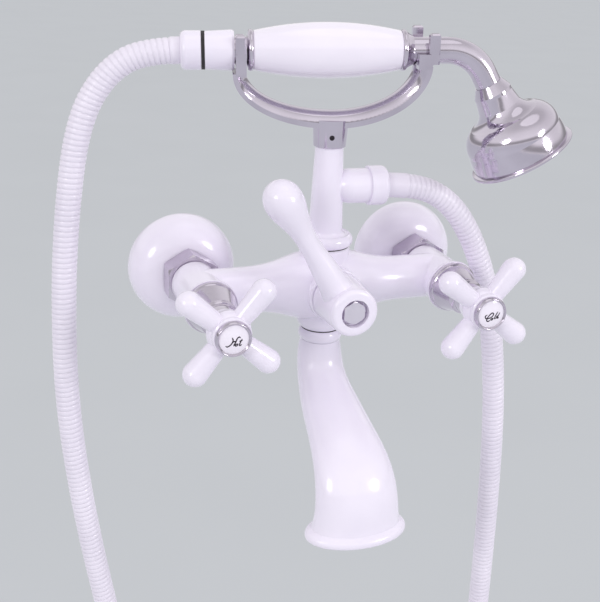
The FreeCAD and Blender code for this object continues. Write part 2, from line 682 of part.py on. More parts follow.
def diverter_spindle():
    """Spindle with the half-round cam that closes the way up or the way down."""
    cam_start = AXIS_DEPTH - CAM_BACK
    cam_end = BOSS_DEPTH - DIVERTER_SLEEVE - SEAT_GAP
    end = lever_floor() - 1.0
    cam = Part.makeCylinder(VALVE_BORE_R - RUN_FIT, cam_end - cam_start, V(0, 0, cam_start), UP)
    window = Part.makeBox(2 * VALVE_BORE_R, VALVE_BORE_R, cam_end - cam_start - 3.0,
                          V(-VALVE_BORE_R, 0, cam_start))
    shaft = Part.makeCylinder(STEM_R, end - cam_end, V(0, 0, cam_end), UP)
    tap = Part.makeCylinder(CAP_SCREW_R + THREAD_GAP, 8.0, V(0, 0, end - 8.0), UP)
    return facing(cam.cut(window).fuse(shaft).cut(tap).removeSplitter(), 0)


def paddle():
    """Lever arm: waisted near the middle, and widening into a rounded paddle."""
    outline = [(r, LEVER_TIP - inside) for r, inside in LEVER_PROFILE]
    curve = Part.BSplineCurve()
    curve.interpolate([V(r, 0, h) for r, h in outline], InitialTangent=V(-1, 0, 4),
                      FinalTangent=V(-1, 0, 0))
    base = V(outline[0][0], 0, outline[0][1])
    edges = [curve.toShape(), Part.LineSegment(V(0, 0, LEVER_TIP), V(0, 0, 0)).toShape(),
             Part.LineSegment(V(0, 0, 0), V(base.x, 0, 0)).toShape(),
             Part.LineSegment(V(base.x, 0, 0), base).toShape()]
    arm = Part.Face(Part.Wire(edges)).revolve(V(0, 0, 0), UP, 360)
    arm.Placement = FreeCAD.Placement(V(0, 0, LEVER_DEPTH),
                                      FreeCAD.Rotation(V(1, 0, 0), -90)).multiply(arm.Placement)
    arm.rotate(V(0, 0, 0), UP, LEVER_LEAN)
    return arm


def diverter_lever():
    floor = lever_floor()
    hub = turned([(0, LEVER_HUB_START), (LEVER_HUB_REAR_R - 0.6, LEVER_HUB_START),
                  (LEVER_HUB_REAR_R, LEVER_HUB_START + 0.6),
                  (LEVER_HUB_R + 0.3, LEVER_HUB_END - 3.0),
                  ((LEVER_HUB_R - 0.6, LEVER_HUB_END - 0.6), (LEVER_HUB_R - 2.4, LEVER_HUB_END)),
                  (0, LEVER_HUB_END)])
    solid = hub.fuse(paddle())
    pocket = DIVERTER_NECK_R + LOOSE
    solid = solid.cut(Part.makeCylinder(pocket, DIVERTER_NECK_END + LOOSE - LEVER_HUB_START,
                                        V(0, 0, LEVER_HUB_START), UP))
    solid = solid.cut(Part.makeCylinder(STEM_R + RUN_FIT, floor - 1.0 - LEVER_HUB_START,
                                        V(0, 0, LEVER_HUB_START), UP))
    solid = solid.cut(Part.makeCylinder(CAP_SCREW_R + LOOSE, 2.0, V(0, 0, floor - 2.0), UP))
    solid = solid.cut(Part.makeCylinder(LEVER_RECESS_R, LEVER_RECESS, V(0, 0, floor), UP))
    return facing(solid.removeSplitter(), 0)


def lever_cap_nut():
    """Chrome hexagon that holds the lever, sunk in the hub."""
    floor = lever_floor()
    top = LEVER_HUB_END - 1.2
    head = chamfered(CAP_AF, floor, top, 0.9)
    shank = Part.makeCylinder(CAP_SCREW_R, 8.0, V(0, 0, floor - 8.0), UP)
    return facing(head.fuse(shank).removeSplitter(), 0)


# Spout


def spout_stations():
    """Middle line of the spout as (depth, height, lean from straight down in degrees)."""
    turn = math.radians(SPOUT_TURN)
    depth, height = AXIS_DEPTH, -SPOUT_TOP
    out = [(depth, height, 0.0)]
    height -= SPOUT_DROP
    for share in (0.0, 0.5, 1.0):
        a = turn * share
        out.append((depth + SPOUT_BEND_1 * (1 - math.cos(a)), height - SPOUT_BEND_1 * math.sin(a),
                    SPOUT_TURN * share))
    depth, height, _ = out[-1]
    for share in (0.5, 1.0):
        out.append((depth + SPOUT_RUN * share * math.sin(turn), height - SPOUT_RUN * share * math.cos(turn),
                    SPOUT_TURN))
    depth, height, _ = out[-1]
    for share in (0.5, 1.0):
        a = turn * share
        out.append((depth + SPOUT_BEND_2 * (math.cos(turn - a) - math.cos(turn)),
                    height - SPOUT_BEND_2 * (math.sin(turn) - math.sin(turn - a)),
                    SPOUT_TURN * (1 - share)))
    depth, height, _ = out[-1]
    out.append((depth, height - SPOUT_TAIL, 0.0))
    return out


def oval(a, b, depth, height, lean):
    """Ellipse across the spout's middle line, half width a along X and half thickness b."""
    ellipse = Part.Ellipse(V(0, 0, 0), max(a, b + 0.001), b).toShape()
    ellipse.rotate(V(0, 0, 0), V(1, 0, 0), -lean)
    ellipse.translate(V(0, -depth, AXIS_Z + height))
    return Part.Wire(ellipse)


def spout_sizes(count):
    """Half widths and half thicknesses along the spout, from the round neck to the flat mouth."""
    out = []
    for k in range(count):
        share = k / (count - 1)
        swell = share - SPOUT_SWELL * math.sin(2 * math.pi * share)
        a = SPOUT_NECK_R + (MOUTH_A - SPOUT_NECK_R) * swell
        b = SPOUT_NECK_R + (MOUTH_B - SPOUT_NECK_R) * share ** 2
        out.append((a, b))
    return out


def spout():
    stations = spout_stations()
    sizes = spout_sizes(len(stations))
    outer = [oval(a, b, *at) for (a, b), at in zip(sizes, stations)]
    inner = [oval(a - SPOUT_WALL, b - SPOUT_WALL, *at) for (a, b), at in zip(sizes, stations)]
    depth, height, _ = stations[-1]
    lip = [oval(LIP_A - inset, LIP_B - inset, depth, height - LIP_DEEP * share, 0)
           for share, inset in LIP_ROUND]
    lip.insert(0, oval(MOUTH_A, MOUTH_B, depth, height, 0))
    solid = Part.makeLoft(outer, True, False).fuse(Part.makeLoft(lip, True, False))
    opening = Part.Face(oval(MOUTH_A - SPOUT_WALL, MOUTH_B - SPOUT_WALL, depth, height - LIP_DEEP, 0))
    mouth = opening.extrude(V(0, 0, STRAIGHTENER_RISE + STRAIGHTENER_THICK))
    solid = solid.cut(Part.makeLoft(inner, True, False)).cut(mouth)
    groove = clip_height()
    seal_floor = SPOUT_BORE_R - 2 * ORING_R - SEAT_GAP
    spigot = turned([(OUTLET_PORT_R, -SPOUT_TOP - 1.0), (SPOUT_NECK_R - 1.0, -SPOUT_TOP - 1.0),
                     (SPOUT_NECK_R - 1.0, -SPOUT_TOP),
                     (SPOUT_BORE_R - RUN_FIT, -SPOUT_TOP), (SPOUT_BORE_R - RUN_FIT, groove),
                     (SPIGOT_CORE_R, groove), (SPIGOT_CORE_R, groove + CLIP_THICK),
                     (SPOUT_BORE_R - RUN_FIT, groove + CLIP_THICK),
                     (SPOUT_BORE_R - RUN_FIT, seal_height() - ORING_R),
                     (seal_floor, seal_height() - ORING_R),
                     (seal_floor, seal_height() + ORING_R),
                     (SPOUT_BORE_R - RUN_FIT, seal_height() + ORING_R),
                     (SPOUT_BORE_R - RUN_FIT, SPIGOT_LEN - SPOUT_TOP),
                     (OUTLET_PORT_R, SPIGOT_LEN - SPOUT_TOP)])
    return solid.fuse(upright(spigot)).removeSplitter()


def clip_height():
    """Underside of the circlip, above the collar's inner lip."""
    return -SPOUT_TOP + SPIGOT_FLANGE_GAP - SEAT_GAP


def seal_height():
    return -BARREL_BOTTOM + 4.0


def spout_seal():
    return upright(oring(SPOUT_BORE_R - ORING_R, seal_height(), ORING_R - 0.02))


def spout_collar():
    """White ring screwed to the body, with the inner lip that the circlip rests on."""
    top = -BARREL_BOTTOM - SEAT_GAP
    low = -SPOUT_TOP + 0.3
    lip = clip_height() - SEAT_GAP
    section = turned([(SPOUT_BORE_R + LOOSE, low), (COLLAR_R - 1.4, low),
                      ((COLLAR_R, (low + top) / 2 + 0.4), (COLLAR_R - 1.8, top)),
                      (BODY_THREAD_R + THREAD_GAP, top),
                      (BODY_THREAD_R + THREAD_GAP, lip), (SPOUT_BORE_R + LOOSE, lip)])
    return upright(section)


def spout_clip():
    """Circlip with its gap at the back."""
    clip = ring(SPIGOT_CORE_R + 0.05, CLIP_R, clip_height(), clip_height() + CLIP_THICK - 0.1)
    return upright(clip.cut(Part.makeBox(4.0, 2 * CLIP_R, 4.0, V(-2.0, 0, clip_height() - 1.0))))


def flow_straightener():
    """Oval plate with a pattern of holes, set back in the mouth."""
    depth, height, _ = spout_stations()[-1]
    bottom = height - LIP_DEEP + STRAIGHTENER_RISE
    a = MOUTH_A - SPOUT_WALL - RUN_FIT
    b = MOUTH_B - SPOUT_WALL - RUN_FIT
    plate = Part.Face(oval(a, b, depth, bottom, 0)).extrude(V(0, 0, STRAIGHTENER_THICK))
    holes = []
    rows = int((b - 2.0) / STRAIGHTENER_PITCH)
    for row in range(-rows, rows + 1):
        y = row * STRAIGHTENER_PITCH
        reach = (a - 3.0) * math.sqrt(max(0.0, 1 - (y / (b - 1.0)) ** 2))
        columns = int(reach / STRAIGHTENER_PITCH)
        for column in range(-columns, columns + 1):
            base = V(column * STRAIGHTENER_PITCH, -depth + y, AXIS_Z + bottom)
            holes.append(Part.makeCylinder(STRAIGHTENER_HOLE_R, STRAIGHTENER_THICK, base, UP))
    return plate.cut(Part.makeCompound(holes))


# Column and its outlet


def column():
    seat = barrel_top() + COLUMN_SEAL
    foot = seat + COLUMN_FOOT
    outside = turned([(0, seat), (COLUMN_FOOT_R - 1.6, seat),
                      ((COLUMN_FOOT_R, seat + COLUMN_FOOT * 0.5), (COLUMN_FOOT_R - 2.2, foot)),
                      ((COLUMN_WAIST_R + 0.5, foot + 0.6), (COLUMN_WAIST_R, foot + 2.0)),
                      (COLUMN_R, CRADLE_COLLAR_LOW - 1.0),
                      (COLUMN_R, COLUMN_TOP), (0, COLUMN_TOP)])
    bore = Part.makeCylinder(COLUMN_BORE_R, OUTLET_Z - seat, V(0, 0, seat), UP)
    outlet = turned([(0, 0), (OUTLET_ROOT_R, 0), (OUTLET_ROOT_R, COLUMN_R - 2.0),
                     ((OUTLET_R - 0.6, COLUMN_R + 1.6), (OUTLET_R, COLUMN_R + 4.5)), (OUTLET_R, OUTLET_LEN),
                     (HOSE_THREAD_R, OUTLET_LEN),
                     (HOSE_THREAD_R, OUTLET_LEN + OUTLET_THREAD_LEN), (0, OUTLET_LEN + OUTLET_THREAD_LEN)])
    side_bore = Part.makeCylinder(COLUMN_BORE_R, OUTLET_LEN + OUTLET_THREAD_LEN, V(0, 0, 0), UP)
    solid = upright(outside).fuse(on_outlet(outlet))
    return solid.cut(upright(bore)).cut(on_outlet(side_bore)).removeSplitter()


def column_seal():
    return upright(ring(RISER_BORE_R, BARREL_R - 1.4, barrel_top(), barrel_top() + COLUMN_SEAL))


def hose_seat():
    """From the face that a hose nut is screwed up against to the hose's own end, behind the washer."""
    return OUTLET_THREAD_LEN + HOSE_WASHER


def hose_nut(outer):
    """Hose nut about +Z: skirt over the thread, floor behind the hose's flange, rounded shoulder."""
    end = HOSE_NUT_LEN
    knee = end - HOSE_NUT_ROUND
    inside = HOSE_THREAD_R + THREAD_GAP
    floor = hose_seat() + HOSE_FLANGE + SEAT_GAP
    hole = HOSE_R + LOOSE
    bulge = (outer - HOSE_NUT_END_R) * 0.28
    return turned([(inside, 0), (outer - 0.4, 0), (outer, 0.4), (outer, knee),
                   ((outer - bulge, knee + HOSE_NUT_ROUND * 0.68), (HOSE_NUT_END_R, end)),
                   (hole, end), (hole, floor), (inside, floor)])


def outlet_nut():
    nut = hose_nut(OUTLET_NUT_R)
    nut.translate(V(0, 0, OUTLET_LEN))
    return on_outlet(nut)


def outlet_washer():
    start = OUTLET_LEN + OUTLET_THREAD_LEN
    return on_outlet(ring(COLUMN_BORE_R, HOSE_THREAD_R - 0.3, start, start + HOSE_WASHER))


# Cradle


def bar_section(x, height, lean, wide, deep):
    """Half-round bar section, square to the yoke's curve: flat edges outside, rounded inside."""
    low = -wide / 2
    edge = low + BAR_EDGE * min(1.0, wide / BAR_HIGH)
    half = deep / 2
    corners = [V(0, -half, edge), V(0, -half, low), V(0, half, low), V(0, half, edge)]
    edges = [Part.LineSegment(p, q).toShape() for p, q in zip(corners, corners[1:])]
    edges.append(Part.Arc(corners[-1], V(0, 0, wide / 2), corners[0]).toShape())
    wire = Part.Wire(edges)
    wire.rotate(V(0, 0, 0), V(0, 1, 0), -lean)
    wire.translate(V(x, 0, height))
    return wire


def yoke_arm(side):
    """Half of the yoke, in the handset's own frame: a quarter of an ellipse from the column to a fork."""
    half, rise, end_wide = YOKE_ENDS[side]
    sections = []
    for k in range(7):
        a = math.radians(90 * k / 6)
        x = half * math.sin(a)
        height = -YOKE_LOW + rise * (1 - math.cos(a))
        lean = math.degrees(math.atan2(rise * math.sin(a), half * math.cos(a)))
        wide = BAR_HIGH + (end_wide - BAR_HIGH) * math.sin(a) ** 2
        deep = BAR_DEEP + (FORK_DEEP - 1.0 - BAR_DEEP) * (k / 6) ** 3
        sections.append(bar_section(side * x, height, side * lean, wide, deep))
    return Part.makeLoft(sections, True, False)


def post(side, across, x, top):
    """One post of a fork, with bevelled outer edges and top, from the yoke's end upwards."""
    bottom = -PIPE_R + 1.0
    thick = FORK_DEEP / 2 - PIPE_R - FORK_GAP
    outer_y = across * FORK_DEEP / 2
    low_y = min(outer_y, outer_y - across * thick)
    blank = Part.makeBox(POST_WIDE, thick, top - bottom, V(side * x - POST_WIDE / 2, low_y, bottom))
    bevelled = []
    for edge in blank.Edges:
        box = edge.BoundBox
        outer = abs(box.YMin - outer_y) < 1e-6 and abs(box.YMax - outer_y) < 1e-6
        if box.ZMin > top - 1e-6 or (outer and box.ZLength > 1.0):
            bevelled.append(edge)
    return blank.makeChamfer(POST_BEVEL, bevelled)


def fork_foot(side):
    """Saddle under the neck: as wide as its posts at the top, and as the yoke's end below."""
    half, rise, end_wide = YOKE_ENDS[side]
    places = [x for at, _, x, _ in POSTS if at == side]
    inner = min(places) - POST_WIDE / 2
    outer = max(places) + POST_WIDE / 2
    low = -YOKE_LOW + rise - 1.5
    high = -PIPE_R - 1.0 if side > 0 else low + 1.0
    yoke_outer = half + end_wide / 2 - 0.4
    outline = [(inner, -1.0), (inner, low), (min(outer, yoke_outer), low),
               (min(outer, yoke_outer), high + 1.6),
               (outer, -FORK_FOOT), (outer, -1.0), (inner, -1.0)]
    face = Part.Face(Part.makePolygon([V(side * x, -FORK_DEEP / 2, z) for x, z in outline]))
    return face.extrude(V(0, FORK_DEEP, 0))


def cradle():
    pieces = [yoke_arm(1), fork_foot(-1), fork_foot(1)]
    pieces.extend(post(*place) for place in POSTS)
    yoke = yoke_arm(-1).multiFuse(pieces)
    reach = YOKE_ENDS[-1][0] + 2 * POST_WIDE
    neck = PIPE_R + FORK_GAP
    seat = along_x(Part.makeCylinder(neck, 2 * reach, V(0, 0, -reach), UP))
    slot = Part.makeBox(2 * reach, 2 * neck, YOKE_LOW, V(-reach, -neck, 0))
    yoke = in_hand(yoke.cut(seat.fuse(slot)))
    collar = turned([(0, CRADLE_COLLAR_LOW), (CRADLE_LOW_R - 0.4, CRADLE_COLLAR_LOW),
                     (CRADLE_LOW_R, CRADLE_COLLAR_LOW + 0.4),
                     (CRADLE_TOP_R, CRADLE_COLLAR_TOP), (0, CRADLE_COLLAR_TOP)])
    column_hole = Part.makeCylinder(COLUMN_R + RUN_FIT, COLUMN_TOP + SEAT_GAP - CRADLE_COLLAR_LOW,
                                    V(0, 0, CRADLE_COLLAR_LOW), UP)
    grub = cylinder(GRUB_R + THREAD_GAP, V(0, -CRADLE_TOP_R - 1.0, grub_height()), V(0, 0, grub_height()))
    solid = yoke.fuse(upright(collar, CRADLE_ANGLE))
    return solid.cut(upright(column_hole.fuse(grub), CRADLE_ANGLE)).removeSplitter()


def grub_height():
    return CRADLE_COLLAR_LOW + 6.4


def cradle_set_screw():
    """Grub screw in the cradle's collar, against the column."""
    start = COLUMN_R + SEAT_GAP
    end = start + 1.4
    screw = cylinder(GRUB_R, V(0, -end, grub_height()), V(0, -start, grub_height()))
    socket = cylinder(GRUB_R * 0.5, V(0, -end, grub_height()), V(0, -end + 0.8, grub_height()))
    return upright(screw.cut(socket), CRADLE_ANGLE)


# Handset


def bell_placement():
    """From +Z to the bell's axis, starting at the corner of the bend."""
    return FreeCAD.Placement(V(BEND_X, 0, 0), FreeCAD.Rotation(V(0, 1, 0), 90 + BEND_TURN))


def on_bell(shape):
    out = shape.copy()
    out.Placement = bell_placement().multiply(out.Placement)
    return in_hand(out)


def pipe_rod(r, start, tail):
    """Round rod along the handset and round the bend, to that distance beyond the corner."""
    turn = math.radians(BEND_TURN)
    reach = BEND_R * math.tan(turn / 2)
    first = V(BEND_X - reach, 0, 0)
    rod = cylinder(r, V(start, 0, 0), first)
    arc_centre = V(first.x, 0, -BEND_R)
    face = Part.Face(Part.Wire(Part.makeCircle(r, first, V(1, 0, 0))))
    bend = face.revolve(arc_centre, V(0, 1, 0), BEND_TURN)
    away = V(math.cos(turn), 0, -math.sin(turn))
    corner = V(BEND_X, 0, 0)
    last = cylinder(r, corner + away * reach, corner + away * tail)
    return rod.multiFuse([bend, last])


def handset_pipe():
    start = FITTING_START + FITTING_WALL
    outside = pipe_rod(PIPE_R, start, BELL_COLLAR)
    inside = pipe_rod(PIPE_BORE_R, start, BELL_COLLAR)
    return in_hand(outside.cut(inside).removeSplitter())


def handset_thread_end():
    """The end of the fitting's thread, which carries the hose nut beyond the black ring."""
    return FITTING_START - BLACK_RING - OUTLET_THREAD_LEN


def end_fitting():
    """White fitting between the hose nut and the pipe."""
    end = handset_thread_end()
    solid = turned([(0, end), (HOSE_THREAD_R, end), (HOSE_THREAD_R, FITTING_START),
                    (FITTING_R, FITTING_START),
                    (FITTING_END_R, FITTING_END - 1.2), (FITTING_END_R - 0.6, FITTING_END),
                    (0, FITTING_END)])
    seat = FITTING_START + FITTING_WALL
    socket = Part.makeCylinder(PIPE_R + RUN_FIT, FITTING_END - seat, V(0, 0, seat), UP)
    bore = Part.makeCylinder(PIPE_BORE_R, seat - end, V(0, 0, end), UP)
    return in_hand(along_x(solid.cut(socket).cut(bore)))


def grip():
    """Porcelain grip, one long arc from ferrule to ferrule."""
    middle = (GRIP_START + GRIP_END) / 2
    solid = turned([(PIPE_R + GRIP_BORE_GAP, GRIP_START), (GRIP_END_R - 0.5, GRIP_START),
                    (GRIP_END_R, GRIP_START + 0.5),
                    ((GRIP_R, middle), (GRIP_END_R, GRIP_END - 0.5)), (GRIP_END_R - 0.5, GRIP_END),
                    (PIPE_R + GRIP_BORE_GAP, GRIP_END)])
    return in_hand(along_x(solid))


def ferrule(inner_end, outer_end):
    """Chrome ferrule: a round flange against the grip, running down to the neck."""
    way = 1 if outer_end > inner_end else -1
    knee = inner_end + way * FERRULE_FLANGE
    bore = PIPE_R + RUN_FIT
    middle = (knee + outer_end) / 2
    solid = turned([(bore, inner_end), (FERRULE_R - 0.7, inner_end),
                    ((FERRULE_R, (inner_end + knee) / 2), (FERRULE_R - 0.9, knee)),
                    ((bore + 1.6, middle), (bore + 0.7, outer_end)), (bore, outer_end)])
    return in_hand(along_x(solid))


def bell():
    """Shower bell: sleeve over the pipe, collar, waist, round shoulder and a flanged rim."""
    bore = PIPE_R + RUN_FIT
    wall = BELL_WALL
    floor = BELL_COLLAR + 0.6
    lip = BELL_RIM - FACE_SINK - FACE_THICK - 0.4
    solid = turned([
        (bore, BELL_TOP), (bore + 0.5, BELL_TOP), (BELL_COLLAR_R, BELL_COLLAR - 1.0),
        (BELL_COLLAR_R, BELL_COLLAR + 0.8),
        ((BELL_COLLAR_R + 0.5, 31.5), (BELL_NECK_R, BELL_NECK)),
        ((BELL_NECK_R + 3.0, BELL_NECK + 4.3), (BELL_SHOULDER_R - 5.4, BELL_SHOULDER - 4.8)),
        ((BELL_SHOULDER_R - 0.6, BELL_SHOULDER - 0.8), (BELL_R - 0.9, BELL_DOME)),
        ((BELL_R - 0.1, 61.0), (BELL_R, BELL_RIM - RIM_THICK)),
        (RIM_R - 0.6, BELL_RIM - RIM_THICK + 0.4),
        ((RIM_R, BELL_RIM - RIM_THICK / 2 + 0.2), (RIM_R - 0.6, BELL_RIM)),
        (BELL_R - wall + 1.0, BELL_RIM), (BELL_R - wall, BELL_RIM - 0.4), (BELL_R - wall, lip),
        (BELL_R - wall - 1.2, lip), (BELL_R - wall - 1.2, BELL_DOME + 1.0),
        ((BELL_SHOULDER_R - wall - 1.6, BELL_SHOULDER + 0.4), (BELL_SHOULDER_R - 7.0, BELL_SHOULDER - 3.0)),
        ((BELL_NECK_R + 1.2, BELL_NECK + 5.2), (BELL_NECK_R - wall - 1.0, BELL_NECK + 1.0)),
        (BELL_NECK_R - wall - 3.0, floor), (PIPE_BORE_R, floor), (PIPE_BORE_R, BELL_COLLAR + 0.1),
        (bore, BELL_COLLAR + 0.1)])
    return on_bell(solid)


def spray_face():
    """Face plate with its rings of nozzles."""
    r = BELL_R - BELL_WALL - RUN_FIT
    end = BELL_RIM - FACE_SINK
    plate = turned([(0, end - FACE_THICK), (r, end - FACE_THICK), (r, end - 0.4), (r - 0.4, end), (0, end)])
    holes = [Part.makeCylinder(FACE_SCREW_R * 0.6 + LOOSE, 2 * FACE_THICK,
                               V(0, 0, end - FACE_THICK - 0.5), UP)]
    for count, ring_r in zip(NOZZLE_COUNTS, NOZZLE_RADII):
        for k in range(count):
            a = 2 * math.pi * k / count
            at = V(ring_r * math.cos(a), ring_r * math.sin(a), end - FACE_THICK - 0.5)
            holes.append(Part.makeCylinder(NOZZLE_R, 2 * FACE_THICK, at, UP))
    return on_bell(plate.cut(Part.makeCompound(holes)))


def face_seal():
    """Flat ring behind the spray face."""
    lip = BELL_RIM - FACE_SINK - FACE_THICK
    return on_bell(ring(BELL_R - BELL_WALL - 1.1, BELL_R - BELL_WALL - 0.1, lip - 0.35, lip))


def face_screw():
    end = BELL_RIM - FACE_SINK
    shank = FACE_SCREW_R * 0.6
    screw = turned([(0, end - FACE_THICK - 3.0), (shank, end - FACE_THICK - 3.0), (shank, end),
                    (FACE_SCREW_R, end),
                    (FACE_SCREW_R, end + 0.4), cap(FACE_SCREW_R, end + 0.4, end + 1.4)])
    return on_bell(screw)


def handset_nut():
    """The hose nut at the handset's end, screwed up against the black ring."""
    nut = hose_nut(HANDSET_NUT_R)
    nut.rotate(V(0, 0, 0), V(1, 0, 0), 180)
    nut.translate(V(0, 0, FITTING_START - BLACK_RING))
    return in_hand(along_x(nut))


def handset_ring():
    """Black rubber ring that shows between the nut and the fitting."""
    return in_hand(along_x(ring(HOSE_THREAD_R + THREAD_GAP, BLACK_RING_R, FITTING_START - BLACK_RING,
                                FITTING_START)))


def handset_washer():
    end = handset_thread_end()
    return in_hand(along_x(ring(PIPE_BORE_R, HOSE_THREAD_R - 0.3, end - HOSE_WASHER, end)))


# Hose


def hose_corners():
    """Route points: the two washers' faces, a straight run out of each nut, and the route between."""
    out = outlet_placement()
    seat = OUTLET_LEN + hose_seat()
    first = [out.multVec(V(0, 0, seat)), out.multVec(V(0, 0, seat + HOSE_LEAD))]
    hand = handset_placement()
    seat = handset_thread_end() - HOSE_WASHER
    last = [hand.multVec(V(seat - HOSE_LEAD, 0, 0)), hand.multVec(V(seat, 0, 0))]
    return first + [V(x, y, z + AXIS_Z) for x, y, z in HOSE_ROUTE] + last


def hose_path():
    """Stations of the hose, as (point, direction): the ends of the runs and points on the arcs."""
    points = hose_corners()
    stations = [(points[0], (points[1] - points[0]).normalize())]
    radii = []
    for before, at, after in zip(points, points[1:], points[2:]):
        a, b = at - before, after - at
        turn = a.getAngle(b)
        short = min(a.Length, b.Length)
        reach = 0.45 * short
        radius = reach / math.tan(turn / 2)
        radii.append(round(radius, 1))
        way_in, way_out = V(a).normalize(), V(b).normalize()
        start = at - way_in * reach
        side = (way_out - way_in * way_in.dot(way_out)).normalize()
        centre = start + side * radius
        for k in range(HOSE_BEND_STATIONS + 1):
            t = turn * k / HOSE_BEND_STATIONS
            point = centre + (way_in * math.sin(t) - side * math.cos(t)) * radius
            stations.append((point, way_in * math.cos(t) + side * math.sin(t)))
    stations.append((points[-1], (points[-1] - points[-2]).normalize()))
    return stations, radii


def along(stations, distances):
    """Points at those distances along the stations, bent smoothly between them."""
    lengths = [0.0]
    for (p, _), (q, _) in zip(stations, stations[1:]):
        lengths.append(lengths[-1] + (q - p).Length)
    out = []
    k = 0
    for distance in distances:
        while k < len(stations) - 2 and lengths[k + 1] < distance:
            k += 1
        span = lengths[k + 1] - lengths[k]
        t = (distance - lengths[k]) / span
        (p, u), (q, w) = stations[k], stations[k + 1]
        point = (p * (2 * t ** 3 - 3 * t ** 2 + 1) + u * (span * (t ** 3 - 2 * t ** 2 + t))
                 + q * (3 * t ** 2 - 2 * t ** 3) + w * (span * (t ** 3 - t ** 2)))
        out.append((point, (u * (1 - t) + w * t).normalize()))
    return out


def hoop(r, point, way):
    """Circle across the hose, its start kept on one side so that the hose isn't twisted."""
    side = V(0, 1, 0).cross(way).normalize()
    axes = FreeCAD.Rotation(side, V(0, 1, 0), way, "ZXY")
    circle = Part.makeCircle(r)
    circle.Placement = FreeCAD.Placement(point, axes)
    return Part.Wire(circle)


def shower_hose():
    """Ribbed hose: a flange and a smooth sleeve at each end, ribs between them, and a smooth bore."""
    stations, radii = hose_path()
    length = sum((q - p).Length for (p, _), (q, _) in zip(stations, stations[1:]))
    pitch = (length - 2 * HOSE_PLAIN) / HOSE_RIBS
    sleeve = [(0.0, HOSE_FLANGE_R), (HOSE_FLANGE * 0.7, HOSE_FLANGE_R), (HOSE_FLANGE, HOSE_R)]
    outer = sleeve + [(HOSE_PLAIN - 0.5, HOSE_R)]
    for k in range(HOSE_RIBS):
        start = HOSE_PLAIN + k * pitch
        for share, r in ((0.05, HOSE_VALLEY_R), (0.25, HOSE_R), (0.75, HOSE_R), (0.95, HOSE_VALLEY_R)):
            outer.append((start + share * pitch, r))
    outer += [(length - HOSE_PLAIN + 0.5, HOSE_R)] + [(length - d, r) for d, r in reversed(sleeve)]
    places = along(stations, [d for d, _ in outer])
    skin = Part.makeLoft([hoop(r, *at) for (_, r), at in zip(outer, places)], False, True)
    bore = Part.makeLoft([hoop(HOSE_BORE_R, *at) for at in stations], False, True)
    ends = []
    for at in (stations[0], stations[-1]):
        ends.append(Part.makeFace([hoop(HOSE_FLANGE_R, *at), hoop(HOSE_BORE_R, *at)],
                                  "Part::FaceMakerCheese"))
    shell = Part.Shell(skin.Faces + bore.Faces + ends)
    shell.sewShape()
    solid = Part.Solid(shell)
    if solid.Volume < 0:
        solid.reverse()
    section = math.pi * (HOSE_R ** 2 - HOSE_BORE_R ** 2)
    print("hose length", round(length, 1), "radii in diameters",
          [round(r / (2 * HOSE_R), 1) for r in radii])
    print("hose volume over section times length", round(solid.Volume / (section * length), 3))
    return solid


def write(name, shape):
    """Writes one piece as a STEP file."""
    shape.exportStep("parts/" + name + ".step")


def make_sides():
    """The pieces that come once for each inlet."""
    fixed, moving, _ = stack()
    for side, sign in SIDES.items():
        x = sign * INLET_X
        write(side + "_wall_union", eccentric_union(x))
        write(side + "_wall_cover", wall_cover(x))
        write(side + "_union_nut", union_nut(x))
        write(side + "_union_washer", union_washer(x))
        write(side + "_headwork", headwork(x))
        write(side + "_headwork_cover", headwork_cover(x))
        write(side + "_fixed_disc", disc(x, fixed, 0))
        write(side + "_turning_disc", disc(x, moving, 90))
        write(side + "_spindle", stem(x, STEM_END))
        write(side + "_handle", cross_handle(side))
        write(side + "_handle_screw", handle_screw(x))
        write(side + "_index_ring", index_ring(x))
        write(side + "_index_button", index_button(x))


def make_middle():
    """Body, diverter, spout and column."""
    write("body", body())
    write("diverter_headwork", diverter_headwork())
    write("diverter_spindle", diverter_spindle())
    write("diverter_lever", diverter_lever())
    write("lever_cap_nut", lever_cap_nut())
    write("spout", spout())
    write("spout_seal", spout_seal())
    write("spout_collar", spout_collar())
    write("spout_clip", spout_clip())
    write("flow_straightener", flow_straightener())
    write("column", column())
    write("column_seal", column_seal())
    write("outlet_hose_nut", outlet_nut())
    write("outlet_hose_washer", outlet_washer())


def make_shower():
    """Cradle, handset and hose."""
    write("cradle", cradle())
    write("cradle_set_screw", cradle_set_screw())
    write("handset_pipe", handset_pipe())
    write("handset_end_fitting", end_fitting())
    write("handset_grip", grip())
    write("grip_ferrule_hose_end", ferrule(GRIP_START, GRIP_START - FERRULE_LEFT))
    write("grip_ferrule_bell_end", ferrule(GRIP_END, GRIP_END + FERRULE_RIGHT))
    write("shower_bell", bell())
    write("spray_face", spray_face())
    write("spray_face_seal", face_seal())
    write("spray_face_screw", face_screw())
    write("handset_hose_nut", handset_nut())
    write("handset_hose_ring", handset_ring())
    write("handset_hose_washer", handset_washer())
    write("shower_hose", shower_hose())


os.makedirs("parts", exist_ok=True)
make_sides()
make_middle()
make_shower()
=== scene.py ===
import json
import math

import bmesh
import bpy
import numpy as np
from mathutils import Matrix, Vector


